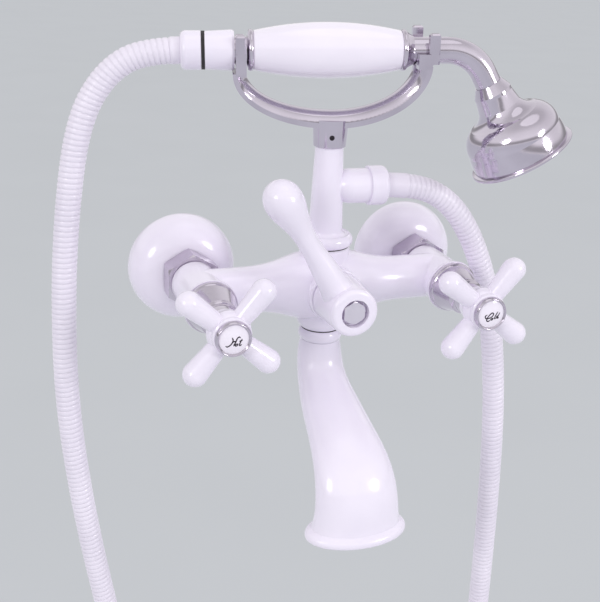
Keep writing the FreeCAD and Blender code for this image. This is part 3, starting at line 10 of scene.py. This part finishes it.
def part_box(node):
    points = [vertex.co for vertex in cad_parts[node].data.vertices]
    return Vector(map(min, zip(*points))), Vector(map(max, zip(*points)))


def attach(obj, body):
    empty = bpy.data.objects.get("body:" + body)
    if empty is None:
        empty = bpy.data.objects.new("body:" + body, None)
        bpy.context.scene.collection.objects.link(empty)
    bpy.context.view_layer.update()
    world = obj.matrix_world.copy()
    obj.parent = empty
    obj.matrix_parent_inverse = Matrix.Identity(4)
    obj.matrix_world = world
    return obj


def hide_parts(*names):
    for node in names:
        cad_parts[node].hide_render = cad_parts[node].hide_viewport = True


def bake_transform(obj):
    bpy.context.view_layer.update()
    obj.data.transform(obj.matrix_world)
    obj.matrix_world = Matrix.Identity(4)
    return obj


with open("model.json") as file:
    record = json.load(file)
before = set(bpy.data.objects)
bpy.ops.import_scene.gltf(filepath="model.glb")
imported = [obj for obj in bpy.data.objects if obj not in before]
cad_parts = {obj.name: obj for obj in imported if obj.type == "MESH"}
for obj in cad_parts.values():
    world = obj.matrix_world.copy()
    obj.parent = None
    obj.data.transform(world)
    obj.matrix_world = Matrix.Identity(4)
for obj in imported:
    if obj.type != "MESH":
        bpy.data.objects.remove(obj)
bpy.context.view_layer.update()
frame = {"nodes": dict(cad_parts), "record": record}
scene = bpy.context.scene
scene.view_settings.view_transform = "Standard"


def srgb(r, g, b):
    """Linear colour of an 8-bit screen colour."""
    def one(v):
        v /= 255
        return v / 12.92 if v <= 0.04045 else ((v + 0.055) / 1.055) ** 2.4
    return one(r), one(g), one(b), 1.0


# Camera, at the photograph's place

CAMERA_PLACE = (-0.20186, -0.56551, 0.20477)
CAMERA_RIGHT = Vector((0.94317, -0.33000, 0.03907))
CAMERA_UP = Vector((0.08275, 0.34712, 0.93416))
CAMERA_AHEAD = Vector((0.32183, 0.87784, -0.35471))
SENSOR_WIDTH = 36.0
LENS = 58.06


def make_camera():
    data = bpy.data.cameras.new("camera")
    data.sensor_width = SENSOR_WIDTH
    data.lens = LENS
    data.clip_start, data.clip_end = 0.01, 100.0
    camera = bpy.data.objects.new("camera", data)
    turn = Matrix((CAMERA_RIGHT, CAMERA_UP, -CAMERA_AHEAD)).transposed().to_4x4()
    camera.matrix_world = Matrix.Translation(CAMERA_PLACE) @ turn
    scene.collection.objects.link(camera)
    scene.camera = camera


make_camera()


# Materials. Texture coordinates are the object's own, in metres.

def blank(name):
    """A new material, with what its maker needs: nodes, links, the main shader and the coordinates."""
    m = bpy.data.materials.new(name)
    m.use_nodes = True
    nodes, links = m.node_tree.nodes, m.node_tree.links
    return m, nodes, links, nodes["Principled BSDF"], nodes.new("ShaderNodeTexCoord").outputs["Object"]


def noise(nodes, links, where, scale, detail=3.0, rough=0.5):
    n = nodes.new("ShaderNodeTexNoise")
    n.inputs["Scale"].default_value = scale
    n.inputs["Detail"].default_value = detail
    n.inputs["Roughness"].default_value = rough
    links.new(where, n.inputs["Vector"])
    return n.outputs["Fac"]


# A noise lies mostly between these two values
NOISE_SPAN = (0.35, 0.65)


def vary(nodes, links, value, low, high, socket):
    """A socket's value or colour goes from low to high as a noise goes over its span."""
    r = nodes.new("ShaderNodeValToRGB")
    for end, place, what in zip(r.color_ramp.elements, NOISE_SPAN, (low, high)):
        end.position = place
        end.color = what if isinstance(what, tuple) else (what, what, what, 1.0)
    links.new(value, r.inputs["Fac"])
    links.new(r.outputs["Color"], socket)


def bump(nodes, links, shader, height, strength, distance, before=None):
    b = nodes.new("ShaderNodeBump")
    b.inputs["Strength"].default_value = strength
    b.inputs["Distance"].default_value = distance
    links.new(height, b.inputs["Height"])
    if before is not None:
        links.new(before, b.inputs["Normal"])
    links.new(b.outputs["Normal"], shader.inputs["Normal"])
    return b.outputs["Normal"]


def enamel(name, tone, shade, rough, coat, peel):
    """Baked white enamel: a faint flow in its tone, and the slight orange peel of sprayed paint."""
    m, nodes, links, shader, where = blank(name)
    vary(nodes, links, noise(nodes, links, where, 24.0), shade, tone, shader.inputs["Base Color"])
    vary(nodes, links, noise(nodes, links, where, 90.0), *rough, shader.inputs["Roughness"])
    shader.inputs["Coat Weight"].default_value = coat
    shader.inputs["Coat Roughness"].default_value = 0.06
    shader.inputs["IOR"].default_value = 1.5
    wave = bump(nodes, links, shader, noise(nodes, links, where, 160.0, 1.0), peel, 0.0002)
    bump(nodes, links, shader, noise(nodes, links, where, 900.0, 2.0), peel * 0.6, 0.00004, wave)
    return m


def metal(name, tone, shade, rough, peel=0.05, grain=0.0):
    """Polished or plain metal, with faint wiping marks in its gloss."""
    m, nodes, links, shader, where = blank(name)
    shader.inputs["Metallic"].default_value = 1.0
    vary(nodes, links, noise(nodes, links, where, 40.0), shade, tone, shader.inputs["Base Color"])
    vary(nodes, links, noise(nodes, links, where, 70.0, 5.0, 0.6), *rough, shader.inputs["Roughness"])
    wave = bump(nodes, links, shader, noise(nodes, links, where, 120.0, 1.0), peel, 0.00025)
    if grain:
        bump(nodes, links, shader, noise(nodes, links, where, 2500.0, 2.0), grain, 0.00005, wave)
    return m


def matt(name, tone, shade, rough=(0.5, 0.7), grain=0.3, scale=1500.0):
    """Rubber, fibre, ceramic or plain plastic, with a fine grain."""
    m, nodes, links, shader, where = blank(name)
    vary(nodes, links, noise(nodes, links, where, 150.0), shade, tone, shader.inputs["Base Color"])
    vary(nodes, links, noise(nodes, links, where, 300.0), *rough, shader.inputs["Roughness"])
    bump(nodes, links, shader, noise(nodes, links, where, scale, 3.0), grain, 0.00005)
    return m


# Name, maker, tone, shade and range of roughness. After these an enamel has its coat and its peel,
# a metal its peel and its grain, and a matt surface its grain and the grain's scale.
MATERIALS = {name: make(name, *looks) for name, make, *looks in (
    ("white_enamel", enamel, srgb(241, 234, 249), srgb(236, 229, 245), (0.16, 0.26), 0.4, 0.08),
    ("porcelain", enamel, srgb(245, 238, 251), srgb(241, 234, 248), (0.10, 0.16), 0.8, 0.03),
    ("white_hose", enamel, srgb(239, 232, 246), srgb(230, 223, 238), (0.28, 0.40), 0.15, 0.06),
    ("chrome", metal, srgb(207, 199, 212), srgb(197, 189, 202), (0.09, 0.16)),
    ("satin_chrome", metal, srgb(232, 225, 236), srgb(218, 211, 223), (0.28, 0.40), 0.05, 0.12),
    ("steel", metal, srgb(190, 190, 194), srgb(172, 172, 178), (0.22, 0.36), 0.05, 0.2),
    # Dark steel for the set screw: a real part, whose dark tone is painted shade of the hole it sits in
    ("black_steel", metal, srgb(70, 64, 70), srgb(52, 48, 54), (0.3, 0.45), 0.05, 0.2),
    ("brass", metal, srgb(201, 166, 96), srgb(178, 142, 78), (0.22, 0.38), 0.06, 0.25),
    ("black_rubber", matt, srgb(38, 33, 38), srgb(26, 23, 27)),
    ("ink", matt, srgb(48, 36, 52), srgb(36, 26, 40), (0.35, 0.5), 0.1),
    ("fibre", matt, srgb(122, 62, 50), srgb(98, 46, 38), (0.7, 0.9), 0.5, 900.0),
    ("ceramic", matt, srgb(236, 232, 226), srgb(226, 221, 214), (0.25, 0.4), 0.1),
    ("grey_plastic", matt, srgb(196, 194, 198), srgb(182, 180, 186), (0.35, 0.5), 0.15),
)}
# Two small pieces whose finish in the photo isn't that of their slot
# The set screw is a real part, and its black finish is painted shade for the dark of its hole
OWN_FINISH = {"cradle_set_screw": "black_steel", "lever_cap_nut": "satin_chrome"}


def dress_nodes():
    """Each CAD node gets its own finish or else the material of its slot in the record."""
    slots = {part["node"]: part["material_slot"] for part in frame["record"]["subparts"]}
    for name, node in frame["nodes"].items():
        node.data.materials.clear()
        node.data.materials.append(MATERIALS[OWN_FINISH.get(name, slots[name])])


dress_nodes()


# Making of pieces from points and faces

def quads_between_rings(base, rings, sides):
    """Faces of a tube whose rings of points follow each other from the point numbered base."""
    faces = []
    for k in range(rings - 1):
        for n in range(sides):
            m = (n + 1) % sides
            low, high = base + sides * k, base + sides * (k + 1)
            faces.append((low + n, low + m, high + m, high + n))
    return faces


def face_outwards(mesh):
    """Turns every face of closed shells to the outside."""
    shape = bmesh.new()
    shape.from_mesh(mesh)
    bmesh.ops.recalc_face_normals(shape, faces=shape.faces)
    shape.to_mesh(mesh)
    shape.free()
    mesh.update()


def add_piece(name, verts, faces, body, slot, finish=None, smooth=True):
    """A piece that rides on a body of the CAD. Its finish is its slot's where none is named."""
    mesh = bpy.data.meshes.new(name)
    mesh.from_pydata(verts, [], faces)
    face_outwards(mesh)
    mesh.polygons.foreach_set("use_smooth", [smooth] * len(mesh.polygons))
    mesh.materials.append(MATERIALS[finish or slot])
    piece = bpy.data.objects.new(name, mesh)
    scene.collection.objects.link(piece)
    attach(piece, body)


# Hose. The route's points are those of the part's source, in metres.

HOSE_DIAMETER = 0.0143
HOSE_ROUTE = [
    (0.03188, -0.05579, 0.0678), (0.05479, -0.05779, 0.0678),
    (0.0766, -0.0590, 0.0570), (0.0929, -0.0593, 0.0366), (0.1074, -0.0601, 0.0050),
    (0.1178, -0.0601, -0.0370), (0.1259, -0.0595, -0.0910), (0.1307, -0.0586, -0.1570),
    (0.1339, -0.0573, -0.2330), (0.1358, -0.0564, -0.3170), (0.1330, -0.0554, -0.4020),
    (0.1160, -0.0535, -0.4710), (0.0870, -0.0508, -0.5120), (0.0507, -0.0477, -0.5320),
    (0.0041, -0.0438, -0.5353), (-0.0358, -0.0401, -0.5190), (-0.0704, -0.0365, -0.4800),
    (-0.0960, -0.0330, -0.4140), (-0.1135, -0.0300, -0.3280), (-0.1295, -0.0270, -0.2350),
    (-0.1432, -0.0245, -0.1490), (-0.1508, -0.0226, -0.0700), (-0.1498, -0.0214, -0.0020),
    (-0.1448, -0.0204, 0.0556), (-0.1364, -0.0205, 0.1038), (-0.1209, -0.0233, 0.1300),
    (-0.10077, -0.02787, 0.14180), (-0.07847, -0.03344, 0.14244),
]
LINE_RESOLUTION = 40
SAME_POINT = 1e-9
# Step of the fine line through the hose, and the points of it that are averaged to smooth it
LINE_STEP = 0.0005
LINE_WINDOW = 9
# Rows of points in one rib, and how full its crest is: 2 would be round
RIB_ROWS = 6
RIB_FULLNESS = 3.2
RIB_PITCH = 0.0031
RIB_DEPTH = 0.00062
HOSE_SIDES = 28
# How far from each end of the hose the ribbed tube stops, hidden by the sleeve
TUBE_INSET = 0.002
SLEEVE_AT_OUTLET = 0.0166
SLEEVE_AT_HANDSET = 0.0090
SLEEVE_R = 0.0073
SLEEVE_STEPS = 12
# Place along a sleeve and radius there: of its foot, from the hose's end, and of its rim, from its own end
SLEEVE_FOOT = ((0.0, 0.0042), (0.0, 0.0070), (0.0004, SLEEVE_R))
SLEEVE_RIM = ((-0.0030, SLEEVE_R), (-0.0012, 0.00745), (-0.0004, 0.00735), (0.0, 0.0070),
              (-0.0001, 0.0060))


def route_points(route):
    """Points along the smooth line through a route's control points, as Blender draws it."""
    data = bpy.data.curves.new("hose_route", "CURVE")
    data.dimensions = "3D"
    spline = data.splines.new("NURBS")
    spline.points.add(len(route) - 1)
    for point, place in zip(spline.points, route):
        point.co = (*place, 1.0)
    spline.order_u = 3
    spline.use_endpoint_u = True
    spline.resolution_u = LINE_RESOLUTION
    line = bpy.data.objects.new("hose_route", data)
    scene.collection.objects.link(line)
    bpy.context.view_layer.update()
    mesh = bpy.data.meshes.new_from_object(line)
    places = np.array([v.co for v in mesh.vertices], float)
    bpy.data.objects.remove(line)
    bpy.data.meshes.remove(mesh)
    return places


def length_run(places):
    """The line's points without repeats, and the length run at each."""
    steps = np.linalg.norm(np.diff(places, axis=0), axis=1)
    places = places[np.concatenate([[True], steps > SAME_POINT])]
    run = np.concatenate([[0.0], np.cumsum(np.linalg.norm(np.diff(places, axis=0), axis=1))])
    return places, run


def steady_frames(centres):
    """Two sides at each centre, square to the line and turned as little as the line allows."""
    tangents = np.gradient(centres, axis=0)
    tangents /= np.linalg.norm(tangents, axis=1)[:, None]
    side = np.cross(tangents[0], (0.0, 0.0, 1.0))
    side /= np.linalg.norm(side)
    sides = []
    for t in tangents:
        side = side - t * side.dot(t)
        side /= np.linalg.norm(side)
        sides.append(side)
    sides = np.array(sides)
    return sides, np.cross(tangents, sides)


def tube_surface(places, run):
    """A function that gives points at a length along the line, an angle round it and a radius from it."""
    length = run[-1]
    fine = np.linspace(0.0, length, int(length / LINE_STEP) + 1)
    centres = np.stack([np.interp(fine, run, places[:, k]) for k in range(3)], axis=1)
    half = LINE_WINDOW // 2
    for k in range(3):
        padded = np.concatenate([2 * centres[0, k] - centres[half:0:-1, k], centres[:, k],
                                 2 * centres[-1, k] - centres[-2:-half - 2:-1, k]])
        centres[:, k] = np.convolve(padded, np.ones(LINE_WINDOW) / LINE_WINDOW, "valid")
    sides, fronts = steady_frames(centres)

    def surface(s, angle, r):
        s = np.clip(s, 0.0, length)

        def pick(table):
            return np.stack([np.interp(s, fine, table[:, k]) for k in range(3)], axis=-1)
        return pick(centres) + r[..., None] * (np.cos(angle)[..., None] * pick(sides)
                                               + np.sin(angle)[..., None] * pick(fronts))
    return surface


def ribbed_tube(surface, length):
    """Rows climb one rib in each turn, so a row's last side meets the row one rib further."""
    first, last = TUBE_INSET, length - TUBE_INSET - RIB_PITCH
    rows = int((last - first) / RIB_PITCH * RIB_ROWS)
    i, j = np.meshgrid(np.arange(rows + 1), np.arange(HOSE_SIDES), indexing="ij")
    s = first + i * RIB_PITCH / RIB_ROWS + RIB_PITCH * j / HOSE_SIDES
    phase = 2 * ((i % RIB_ROWS) / RIB_ROWS) - 1
    crest = np.sqrt(np.clip(1 - np.abs(phase) ** RIB_FULLNESS, 0, 1))
    r = HOSE_DIAMETER / 2 - RIB_DEPTH * (1 - crest)
    verts = surface(s, 2 * math.pi * j / HOSE_SIDES, r).reshape(-1, 3)
    faces = []
    for a in range(rows):
        for b in range(HOSE_SIDES - 1):
            k = a * HOSE_SIDES + b
            faces.append((k, k + 1, k + HOSE_SIDES + 1, k + HOSE_SIDES))
        if a + RIB_ROWS + 1 <= rows:
            k, n = a * HOSE_SIDES + HOSE_SIDES - 1, (a + RIB_ROWS) * HOSE_SIDES
            faces.append((k, n, n + HOSE_SIDES, k + HOSE_SIDES))
    return verts, faces


def sleeve(surface, base, start, way, long):
    """A smooth crimped sleeve over one end of the tube, turned in at both ends."""
    rim = [(long + d, r) for d, r in SLEEVE_RIM]
    plain_from, plain_to = SLEEVE_FOOT[-1][0], rim[0][0]
    profile = list(SLEEVE_FOOT)
    for k in range(1, SLEEVE_STEPS):
        profile.append((plain_from + (plain_to - plain_from) * k / SLEEVE_STEPS, SLEEVE_R))
    profile += rim
    angles = 2 * math.pi * np.arange(HOSE_SIDES) / HOSE_SIDES
    rings = [surface(np.full(HOSE_SIDES, start + way * d), angles, np.full(HOSE_SIDES, r))
             for d, r in profile]
    faces = quads_between_rings(base, len(profile), HOSE_SIDES)
    return np.concatenate(rings), faces if way > 0 else [face[::-1] for face in faces]


def hose_mesh(places, run):
    """Spiral ribs all the way, and a sleeve over each end."""
    length = run[-1]
    surface = tube_surface(places, run)
    verts, faces = ribbed_tube(surface, length)
    for start, way, long in ((0.0, 1, SLEEVE_AT_OUTLET), (length, -1, SLEEVE_AT_HANDSET)):
        more_verts, more_faces = sleeve(surface, len(verts), start, way, long)
        verts = np.concatenate([verts, more_verts])
        faces += more_faces
    mesh = bpy.data.meshes.new("shower_hose_ribbed")
    mesh.from_pydata(verts.tolist(), [], faces)
    mesh.update()
    mesh.polygons.foreach_set("use_smooth", [True] * len(mesh.polygons))
    return mesh


def make_hose():
    places, run = length_run(route_points(HOSE_ROUTE))
    piece = bpy.data.objects.new("shower_hose_ribbed", hose_mesh(places, run))
    scene.collection.objects.link(piece)
    piece.data.materials.append(MATERIALS["white_hose"])
    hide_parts("shower_hose")
    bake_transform(piece)


make_hose()


# Marks on the two index buttons: plain script words, as thin strokes of ink on the domed face.
# Strokes in millimetres from the button's middle, x to the right and z up.

MARKS = {
    "hot": [
        [(-1.4, 1.8), (-0.9, 0.4), (-1.4, -1.2), (-2.6, -2.6), (-3.8, -3.2), (-4.7, -2.7)],
        [(3.1, 1.2), (2.4, 1.8), (1.4, 1.2), (0.7, -0.3), (-0.1, -1.9), (-0.6, -3.0)],
        [(-1.2, -0.8), (-0.3, -0.4), (0.9, -0.5)],
        [(0.9, -1.9), (0.3, -2.3), (0.5, -3.0), (1.2, -2.9), (1.5, -2.2), (0.9, -1.9), (2.0, -2.0)],
        [(4.0, 0.6), (3.1, -1.1), (2.5, -2.5), (3.0, -3.0), (3.8, -2.5)],
        [(2.4, -0.5), (3.3, -0.4), (4.4, -0.1)],
    ],
    "cold": [
        [(-3.1, 0.4), (-4.1, -0.4), (-3.9, -1.6), (-2.6, -1.9), (-0.8, -1.3), (0.5, -0.1), (0.6, 1.0),
         (-0.4, 1.3), (-1.8, 0.1), (-2.9, -1.6), (-3.0, -3.1), (-2.1, -3.7), (-1.1, -2.9)],
        [(0.0, -1.9), (-0.6, -2.3), (-0.4, -2.9), (0.3, -2.8), (0.6, -2.2), (0.0, -1.9), (1.1, -1.9)],
        [(3.6, 1.7), (2.5, 0.2), (1.7, -1.6), (2.0, -2.3), (2.7, -1.9)],
        [(5.0, 1.1), (4.1, -0.4), (3.5, -1.9), (4.0, -2.2), (4.6, -1.7)],
        [(4.0, -1.0), (3.3, -0.9), (2.9, -1.6), (3.4, -2.1), (3.9, -1.5)],
    ],
}
INK_R = 0.00038
INK_SIDES = 6
# The share of its radius that a stroke has at its ends, and the points over which it narrows to that
INK_END = 0.55
INK_TAPER = 5
# How far a stroke stands over its middle line, in shares of its radius
INK_HEIGHT = 0.5
STROKE_STEPS = 8
# How far the button's middle stands over its rim
BUTTON_DOME = 0.0014


def stroke_points(stroke):
    """Even points on the smooth line through a stroke's own points."""
    flat = np.array(stroke, float) * 0.001
    ends = np.concatenate([[2 * flat[0] - flat[1]], flat, [2 * flat[-1] - flat[-2]]])
    out = []
    for a, b, c, d in zip(ends, ends[1:], ends[2:], ends[3:]):
        for t in np.linspace(0, 1, STROKE_STEPS, endpoint=False):
            out.append(0.5 * (2 * b + (c - a) * t + (2 * a - 5 * b + 4 * c - d) * t * t
                              + (3 * b - a - 3 * c + d) * t ** 3))
    return np.array(out + [flat[-1]])


def make_mark(side):
    """Ink strokes laid over the button, half sunk in its glaze and thinner at their ends."""
    low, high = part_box(side + "_index_button")
    middle_x, middle_z = (low[0] + high[0]) / 2, (low[2] + high[2]) / 2
    reach = (high[0] - low[0]) / 2
    ball = (reach ** 2 + BUTTON_DOME ** 2) / (2 * BUTTON_DOME)
    verts, faces = [], []
    for stroke in MARKS[side]:
        line = stroke_points(stroke)
        ways = np.gradient(line, axis=0)
        ways /= np.linalg.norm(ways, axis=1)[:, None]
        base = len(verts)
        for k, (place, way) in enumerate(zip(line, ways)):
            from_end = min(k, len(line) - 1 - k) / INK_TAPER
            r = INK_R * (INK_END + (1 - INK_END) * min(1.0, from_end))
            depth = low[1] + ball - math.sqrt(ball ** 2 - place @ place)
            for n in range(INK_SIDES):
                a = 2 * math.pi * n / INK_SIDES
                c, d = math.cos(a) * r, math.sin(a) * r * INK_HEIGHT
                verts.append((middle_x + place[0] - way[1] * c, depth - d,
                              middle_z + place[1] + way[0] * c))
        faces += quads_between_rings(base, len(line), INK_SIDES)
        faces.append(tuple(base + n for n in range(INK_SIDES))[::-1])
        faces.append(tuple(len(verts) - INK_SIDES + n for n in range(INK_SIDES)))
    add_piece(side + "_index_mark", verts, faces, side + "_handle", "black_rubber", "ink")


make_mark("hot")
make_mark("cold")


# Soft rubber tips in the holes of the spray face, in the bell's own frame

# How far the column's axis is from the wall
UPRIGHT_DEPTH = 0.053
# The grip's axis crosses the column's at this height, turned away from the wall and rising a little
GRIP_HEIGHT = 0.1447
HANDSET_TURN = math.radians(14.0)
HANDSET_LEAN = math.radians(1.6)
# Where the pipe bends down, counted from the column, and where the spray face is, counted from there
BELL_BEND = math.radians(60.5)
BEND_PLACE = 0.0781
SPRAY_FACE_PLACE = 0.0673
# Number and radius of each ring of holes
TIP_RINGS = ((6, 0.0085), (10, 0.0155), (14, 0.0220))
TIP_SIDES = 12
# Radius and height over the spray face, up the tip's outside and down its bore
TIP_PROFILE = ((0.0001, -0.0004), (0.00105, -0.0004), (0.00100, 0.0002), (0.00078, 0.0008),
               (0.00066, 0.0009), (0.00040, 0.0008), (0.00036, 0.0001), (0.0001, 0.0))


def bell_frame():
    """Corner of the bent pipe, and the bell's two cross directions and its axis."""
    along = Vector((math.cos(HANDSET_TURN) * math.cos(HANDSET_LEAN),
                    -math.sin(HANDSET_TURN) * math.cos(HANDSET_LEAN), math.sin(HANDSET_LEAN)))
    across = Vector((math.sin(HANDSET_TURN), math.cos(HANDSET_TURN), 0.0))
    up = along.cross(across)
    corner = Vector((0.0, -UPRIGHT_DEPTH, GRIP_HEIGHT)) + along * BEND_PLACE
    axis = along * math.cos(BELL_BEND) - up * math.sin(BELL_BEND)
    return corner, across, axis.cross(across), axis


def make_tips():
    corner, across, beside, axis = bell_frame()
    middle = corner + axis * SPRAY_FACE_PLACE
    verts, faces = [], []
    for count, ring_r in TIP_RINGS:
        for k in range(count):
            a = 2 * math.pi * k / count
            place = middle + across * (ring_r * math.sin(a)) - beside * (ring_r * math.cos(a))
            faces += quads_between_rings(len(verts), len(TIP_PROFILE), TIP_SIDES)
            for r, high in TIP_PROFILE:
                for n in range(TIP_SIDES):
                    b = 2 * math.pi * n / TIP_SIDES
                    point = place + axis * high + (across * math.cos(b) + beside * math.sin(b)) * r
                    verts.append(tuple(point))
    add_piece("spray_tips", verts, faces, "handset", "grey_plastic")


make_tips()


# Dark rubber that shows in two joints of the mixer

RING_THICK = 0.00042
RING_TURNS = 72
RING_SIDES = 8
SPOUT_RING_R = 0.0121
# How far the column's ring stands out from the seal that the CAD has there
COLUMN_RING_PROUD = 0.0010


def make_joint_ring(name, height, reach):
    """Round ring about the mixer's upright axis, sunk between the two pieces that it lies between."""
    verts, faces = [], []
    for i in range(RING_TURNS):
        a = 2 * math.pi * i / RING_TURNS
        for j in range(RING_SIDES):
            b = 2 * math.pi * j / RING_SIDES
            r = reach - RING_THICK + RING_THICK * math.cos(b)
            verts.append((r * math.cos(a), -UPRIGHT_DEPTH + r * math.sin(a),
                          height + RING_THICK * math.sin(b)))
            here, onward = i * RING_SIDES, (i + 1) % RING_TURNS * RING_SIDES
            beside = (j + 1) % RING_SIDES
            faces.append((here + j, onward + j, onward + beside, here + beside))
    add_piece(name, verts, faces, "mixer", "black_rubber")


def make_joint_rings():
    low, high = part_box("column_seal")
    make_joint_ring("column_joint_ring", (low[2] + high[2]) / 2, (high[0] - low[0]) / 2 + COLUMN_RING_PROUD)
    low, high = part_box("spout_collar")
    make_joint_ring("spout_joint_ring", high[2], SPOUT_RING_R)


make_joint_rings()


# Threads on the wall ends of the two unions: a low ridge wound round the plain end

INLET_X = 0.075
THREAD_R = 0.01048
THREAD_PITCH = 0.001814
# The ridge stands this far over the plain end, and its foot is sunk this far in it
THREAD_RISE = 0.0002
THREAD_ROOT = 0.0001
# Half the ridge's width at its foot and at its crest
THREAD_FOOT_HALF = 0.0007
THREAD_CREST_HALF = 0.0001
# Depths between which it winds, its points in one turn, and the points over which it rises at each end
THREAD_SPAN = (0.0018, 0.0138)
THREAD_STEPS = 60
THREAD_FADE = 30


def make_thread(side, x):
    """A ridge of four edges, closed at both ends."""
    turns = (THREAD_SPAN[1] - THREAD_SPAN[0]) / THREAD_PITCH
    steps = int(turns * THREAD_STEPS)
    verts = []
    for k in range(steps + 1):
        a = 2 * math.pi * turns * k / steps
        y = THREAD_SPAN[0] + THREAD_PITCH * a / (2 * math.pi)
        crest = THREAD_R + THREAD_RISE * min(1.0, k / THREAD_FADE, (steps - k) / THREAD_FADE)
        root = THREAD_R - THREAD_ROOT
        for r, shift in ((root, -THREAD_FOOT_HALF), (crest, -THREAD_CREST_HALF),
                         (crest, THREAD_CREST_HALF), (root, THREAD_FOOT_HALF)):
            verts.append((x + r * math.cos(a), y + shift, r * math.sin(a)))
    faces = quads_between_rings(0, steps + 1, 4)
    faces += [(0, 1, 2, 3), tuple(4 * steps + n for n in range(4))]
    add_piece(side + "_wall_thread", verts, faces, "mixer", "brass", smooth=False)


make_thread("hot", -INLET_X)
make_thread("cold", INLET_X)


# Floor, light and surroundings

FLOOR_REACH = 40.0
FLOOR_HEIGHT = -0.62
FLOOR_CORNERS = 64
# The share of the floor's tone that is its own where it is seen, and how bright that is where it is mirrored
FLOOR_GLOW_SHARE = 0.7
FLOOR_MIRRORED = 1.4
# Light of the room from in front of the object, and from its sides and back
ROOM_FRONT = 1.10
ROOM_BACK = 0.98
# The room's light from straight down, 0.0, to straight up, 1.0, with a dim band just over the floor
SKY = ((0.0, 1.0), (0.5, 0.85), (0.53, 0.40), (0.57, 0.40), (0.65, 1.0), (0.8, 0.95), (1.0, 0.68))
# Name, place, aim, size and power
LAMPS = (
    ("left_lamp", (-1.6, -1.1, 0.7), (0.0, 0.0, 0.0), 0.6, 7.5),
    ("right_lamp", (1.3, -1.6, 0.6), (0.0, 0.0, 0.0), 0.6, 10.0),
    ("top_lamp", (0.2, -0.3, 1.9), (0.0, -0.05, 0.0), 1.3, 2.0),
)


def spread(nodes, links, value, **ends):
    """A range of values mapped to another; the ends not named stay 0 and 1."""
    n = nodes.new("ShaderNodeMapRange")
    for end, number in ends.items():
        n.inputs[end.replace("_", " ").title()].default_value = number
    links.new(value, n.inputs["Value"])
    return n


def maths(nodes, links, operation, one, other):
    """Two values taken together. The other may be a plain number."""
    n = nodes.new("ShaderNodeMath")
    n.operation = operation
    links.new(one, n.inputs[0])
    if isinstance(other, float):
        n.inputs[1].default_value = other
    else:
        links.new(other, n.inputs[1])
    return n.outputs[0]


def mixed(nodes, links, share, one, other):
    """The one shader, and by its share the other."""
    n = nodes.new("ShaderNodeMixShader")
    links.new(share, n.inputs["Fac"])
    links.new(one, n.inputs[1])
    links.new(other, n.inputs[2])
    return n.outputs["Shader"]


def floor_paper():
    """Pale paper that keeps the object's shadow, and stays even as far as the horizon."""
    m, nodes, links, shader, where = blank("floor_paper")
    vary(nodes, links, noise(nodes, links, where, 3.0), srgb(205, 207, 211), srgb(209, 211, 215),
         shader.inputs["Base Color"])
    shader.inputs["Roughness"].default_value = 0.9
    shader.inputs["Specular IOR Level"].default_value = 0.1
    ray = nodes.new("ShaderNodeLightPath").outputs
    glow = nodes.new("ShaderNodeEmission")
    glow.inputs["Color"].default_value = srgb(196, 199, 204)
    mirrored = spread(nodes, links, ray["Is Glossy Ray"], to_min=1.0, to_max=FLOOR_MIRRORED)
    links.new(mirrored.outputs["Result"], glow.inputs["Strength"])
    seen = maths(nodes, links, "MAXIMUM", ray["Is Camera Ray"], ray["Is Glossy Ray"])
    share = maths(nodes, links, "MULTIPLY", seen, FLOOR_GLOW_SHARE)
    links.new(mixed(nodes, links, share, shader.outputs["BSDF"], glow.outputs["Emission"]),
              nodes["Material Output"].inputs["Surface"])
    return m


def make_floor():
    angles = np.linspace(0, 2 * math.pi, FLOOR_CORNERS, endpoint=False)
    rim = [(FLOOR_REACH * math.cos(a), FLOOR_REACH * math.sin(a), FLOOR_HEIGHT) for a in angles]
    mesh = bpy.data.meshes.new("floor")
    mesh.from_pydata(rim, [], [tuple(range(FLOOR_CORNERS))])
    mesh.materials.append(floor_paper())
    floor = bpy.data.objects.new("floor", mesh)
    scene.collection.objects.link(floor)


def make_room():
    """A soft room, brightest in front of the object. The camera sees its backdrop in the floor's far tone."""
    world = bpy.data.worlds.new("studio")
    scene.world = world
    world.use_nodes = True
    nodes, links = world.node_tree.nodes, world.node_tree.links
    split = nodes.new("ShaderNodeSeparateXYZ")
    links.new(nodes.new("ShaderNodeTexCoord").outputs["Generated"], split.inputs["Vector"])
    front = spread(nodes, links, split.outputs["Y"], from_min=-1.0, from_max=-0.2,
                   to_min=ROOM_FRONT, to_max=ROOM_BACK)
    front.interpolation_type = "SMOOTHSTEP"
    rise = spread(nodes, links, split.outputs["Z"], from_min=-1.0)
    band = nodes.new("ShaderNodeValToRGB")
    band.color_ramp.interpolation = "EASE"
    while len(band.color_ramp.elements) < len(SKY):
        band.color_ramp.elements.new(0.5)
    for element, (place, value) in zip(band.color_ramp.elements, SKY):
        element.position = place
        element.color = (value, value, value, 1.0)
    links.new(rise.outputs["Result"], band.inputs["Fac"])
    back = nodes["Background"]
    back.inputs["Color"].default_value = (1.0, 1.0, 1.0, 1.0)
    links.new(maths(nodes, links, "MULTIPLY", front.outputs["Result"], band.outputs["Color"]),
              back.inputs["Strength"])
    seen = nodes.new("ShaderNodeBackground")
    seen.inputs["Color"].default_value = srgb(192, 198, 203)
    seen.inputs["Strength"].default_value = 1.0
    by_camera = nodes.new("ShaderNodeLightPath").outputs["Is Camera Ray"]
    links.new(mixed(nodes, links, by_camera, back.outputs["Background"], seen.outputs["Background"]),
              nodes["World Output"].inputs["Surface"])


def make_lamp(name, place, aim, size, power):
    data = bpy.data.lights.new(name, "AREA")
    data.shape = "DISK"
    data.size = size
    data.energy = power
    lamp = bpy.data.objects.new(name, data)
    lamp.location = place
    lamp.rotation_mode = "QUATERNION"
    lamp.rotation_quaternion = (Vector(place) - Vector(aim)).to_track_quat("Z", "Y")
    scene.collection.objects.link(lamp)


make_floor()
make_room()
for lamp in LAMPS:
    make_lamp(*lamp)
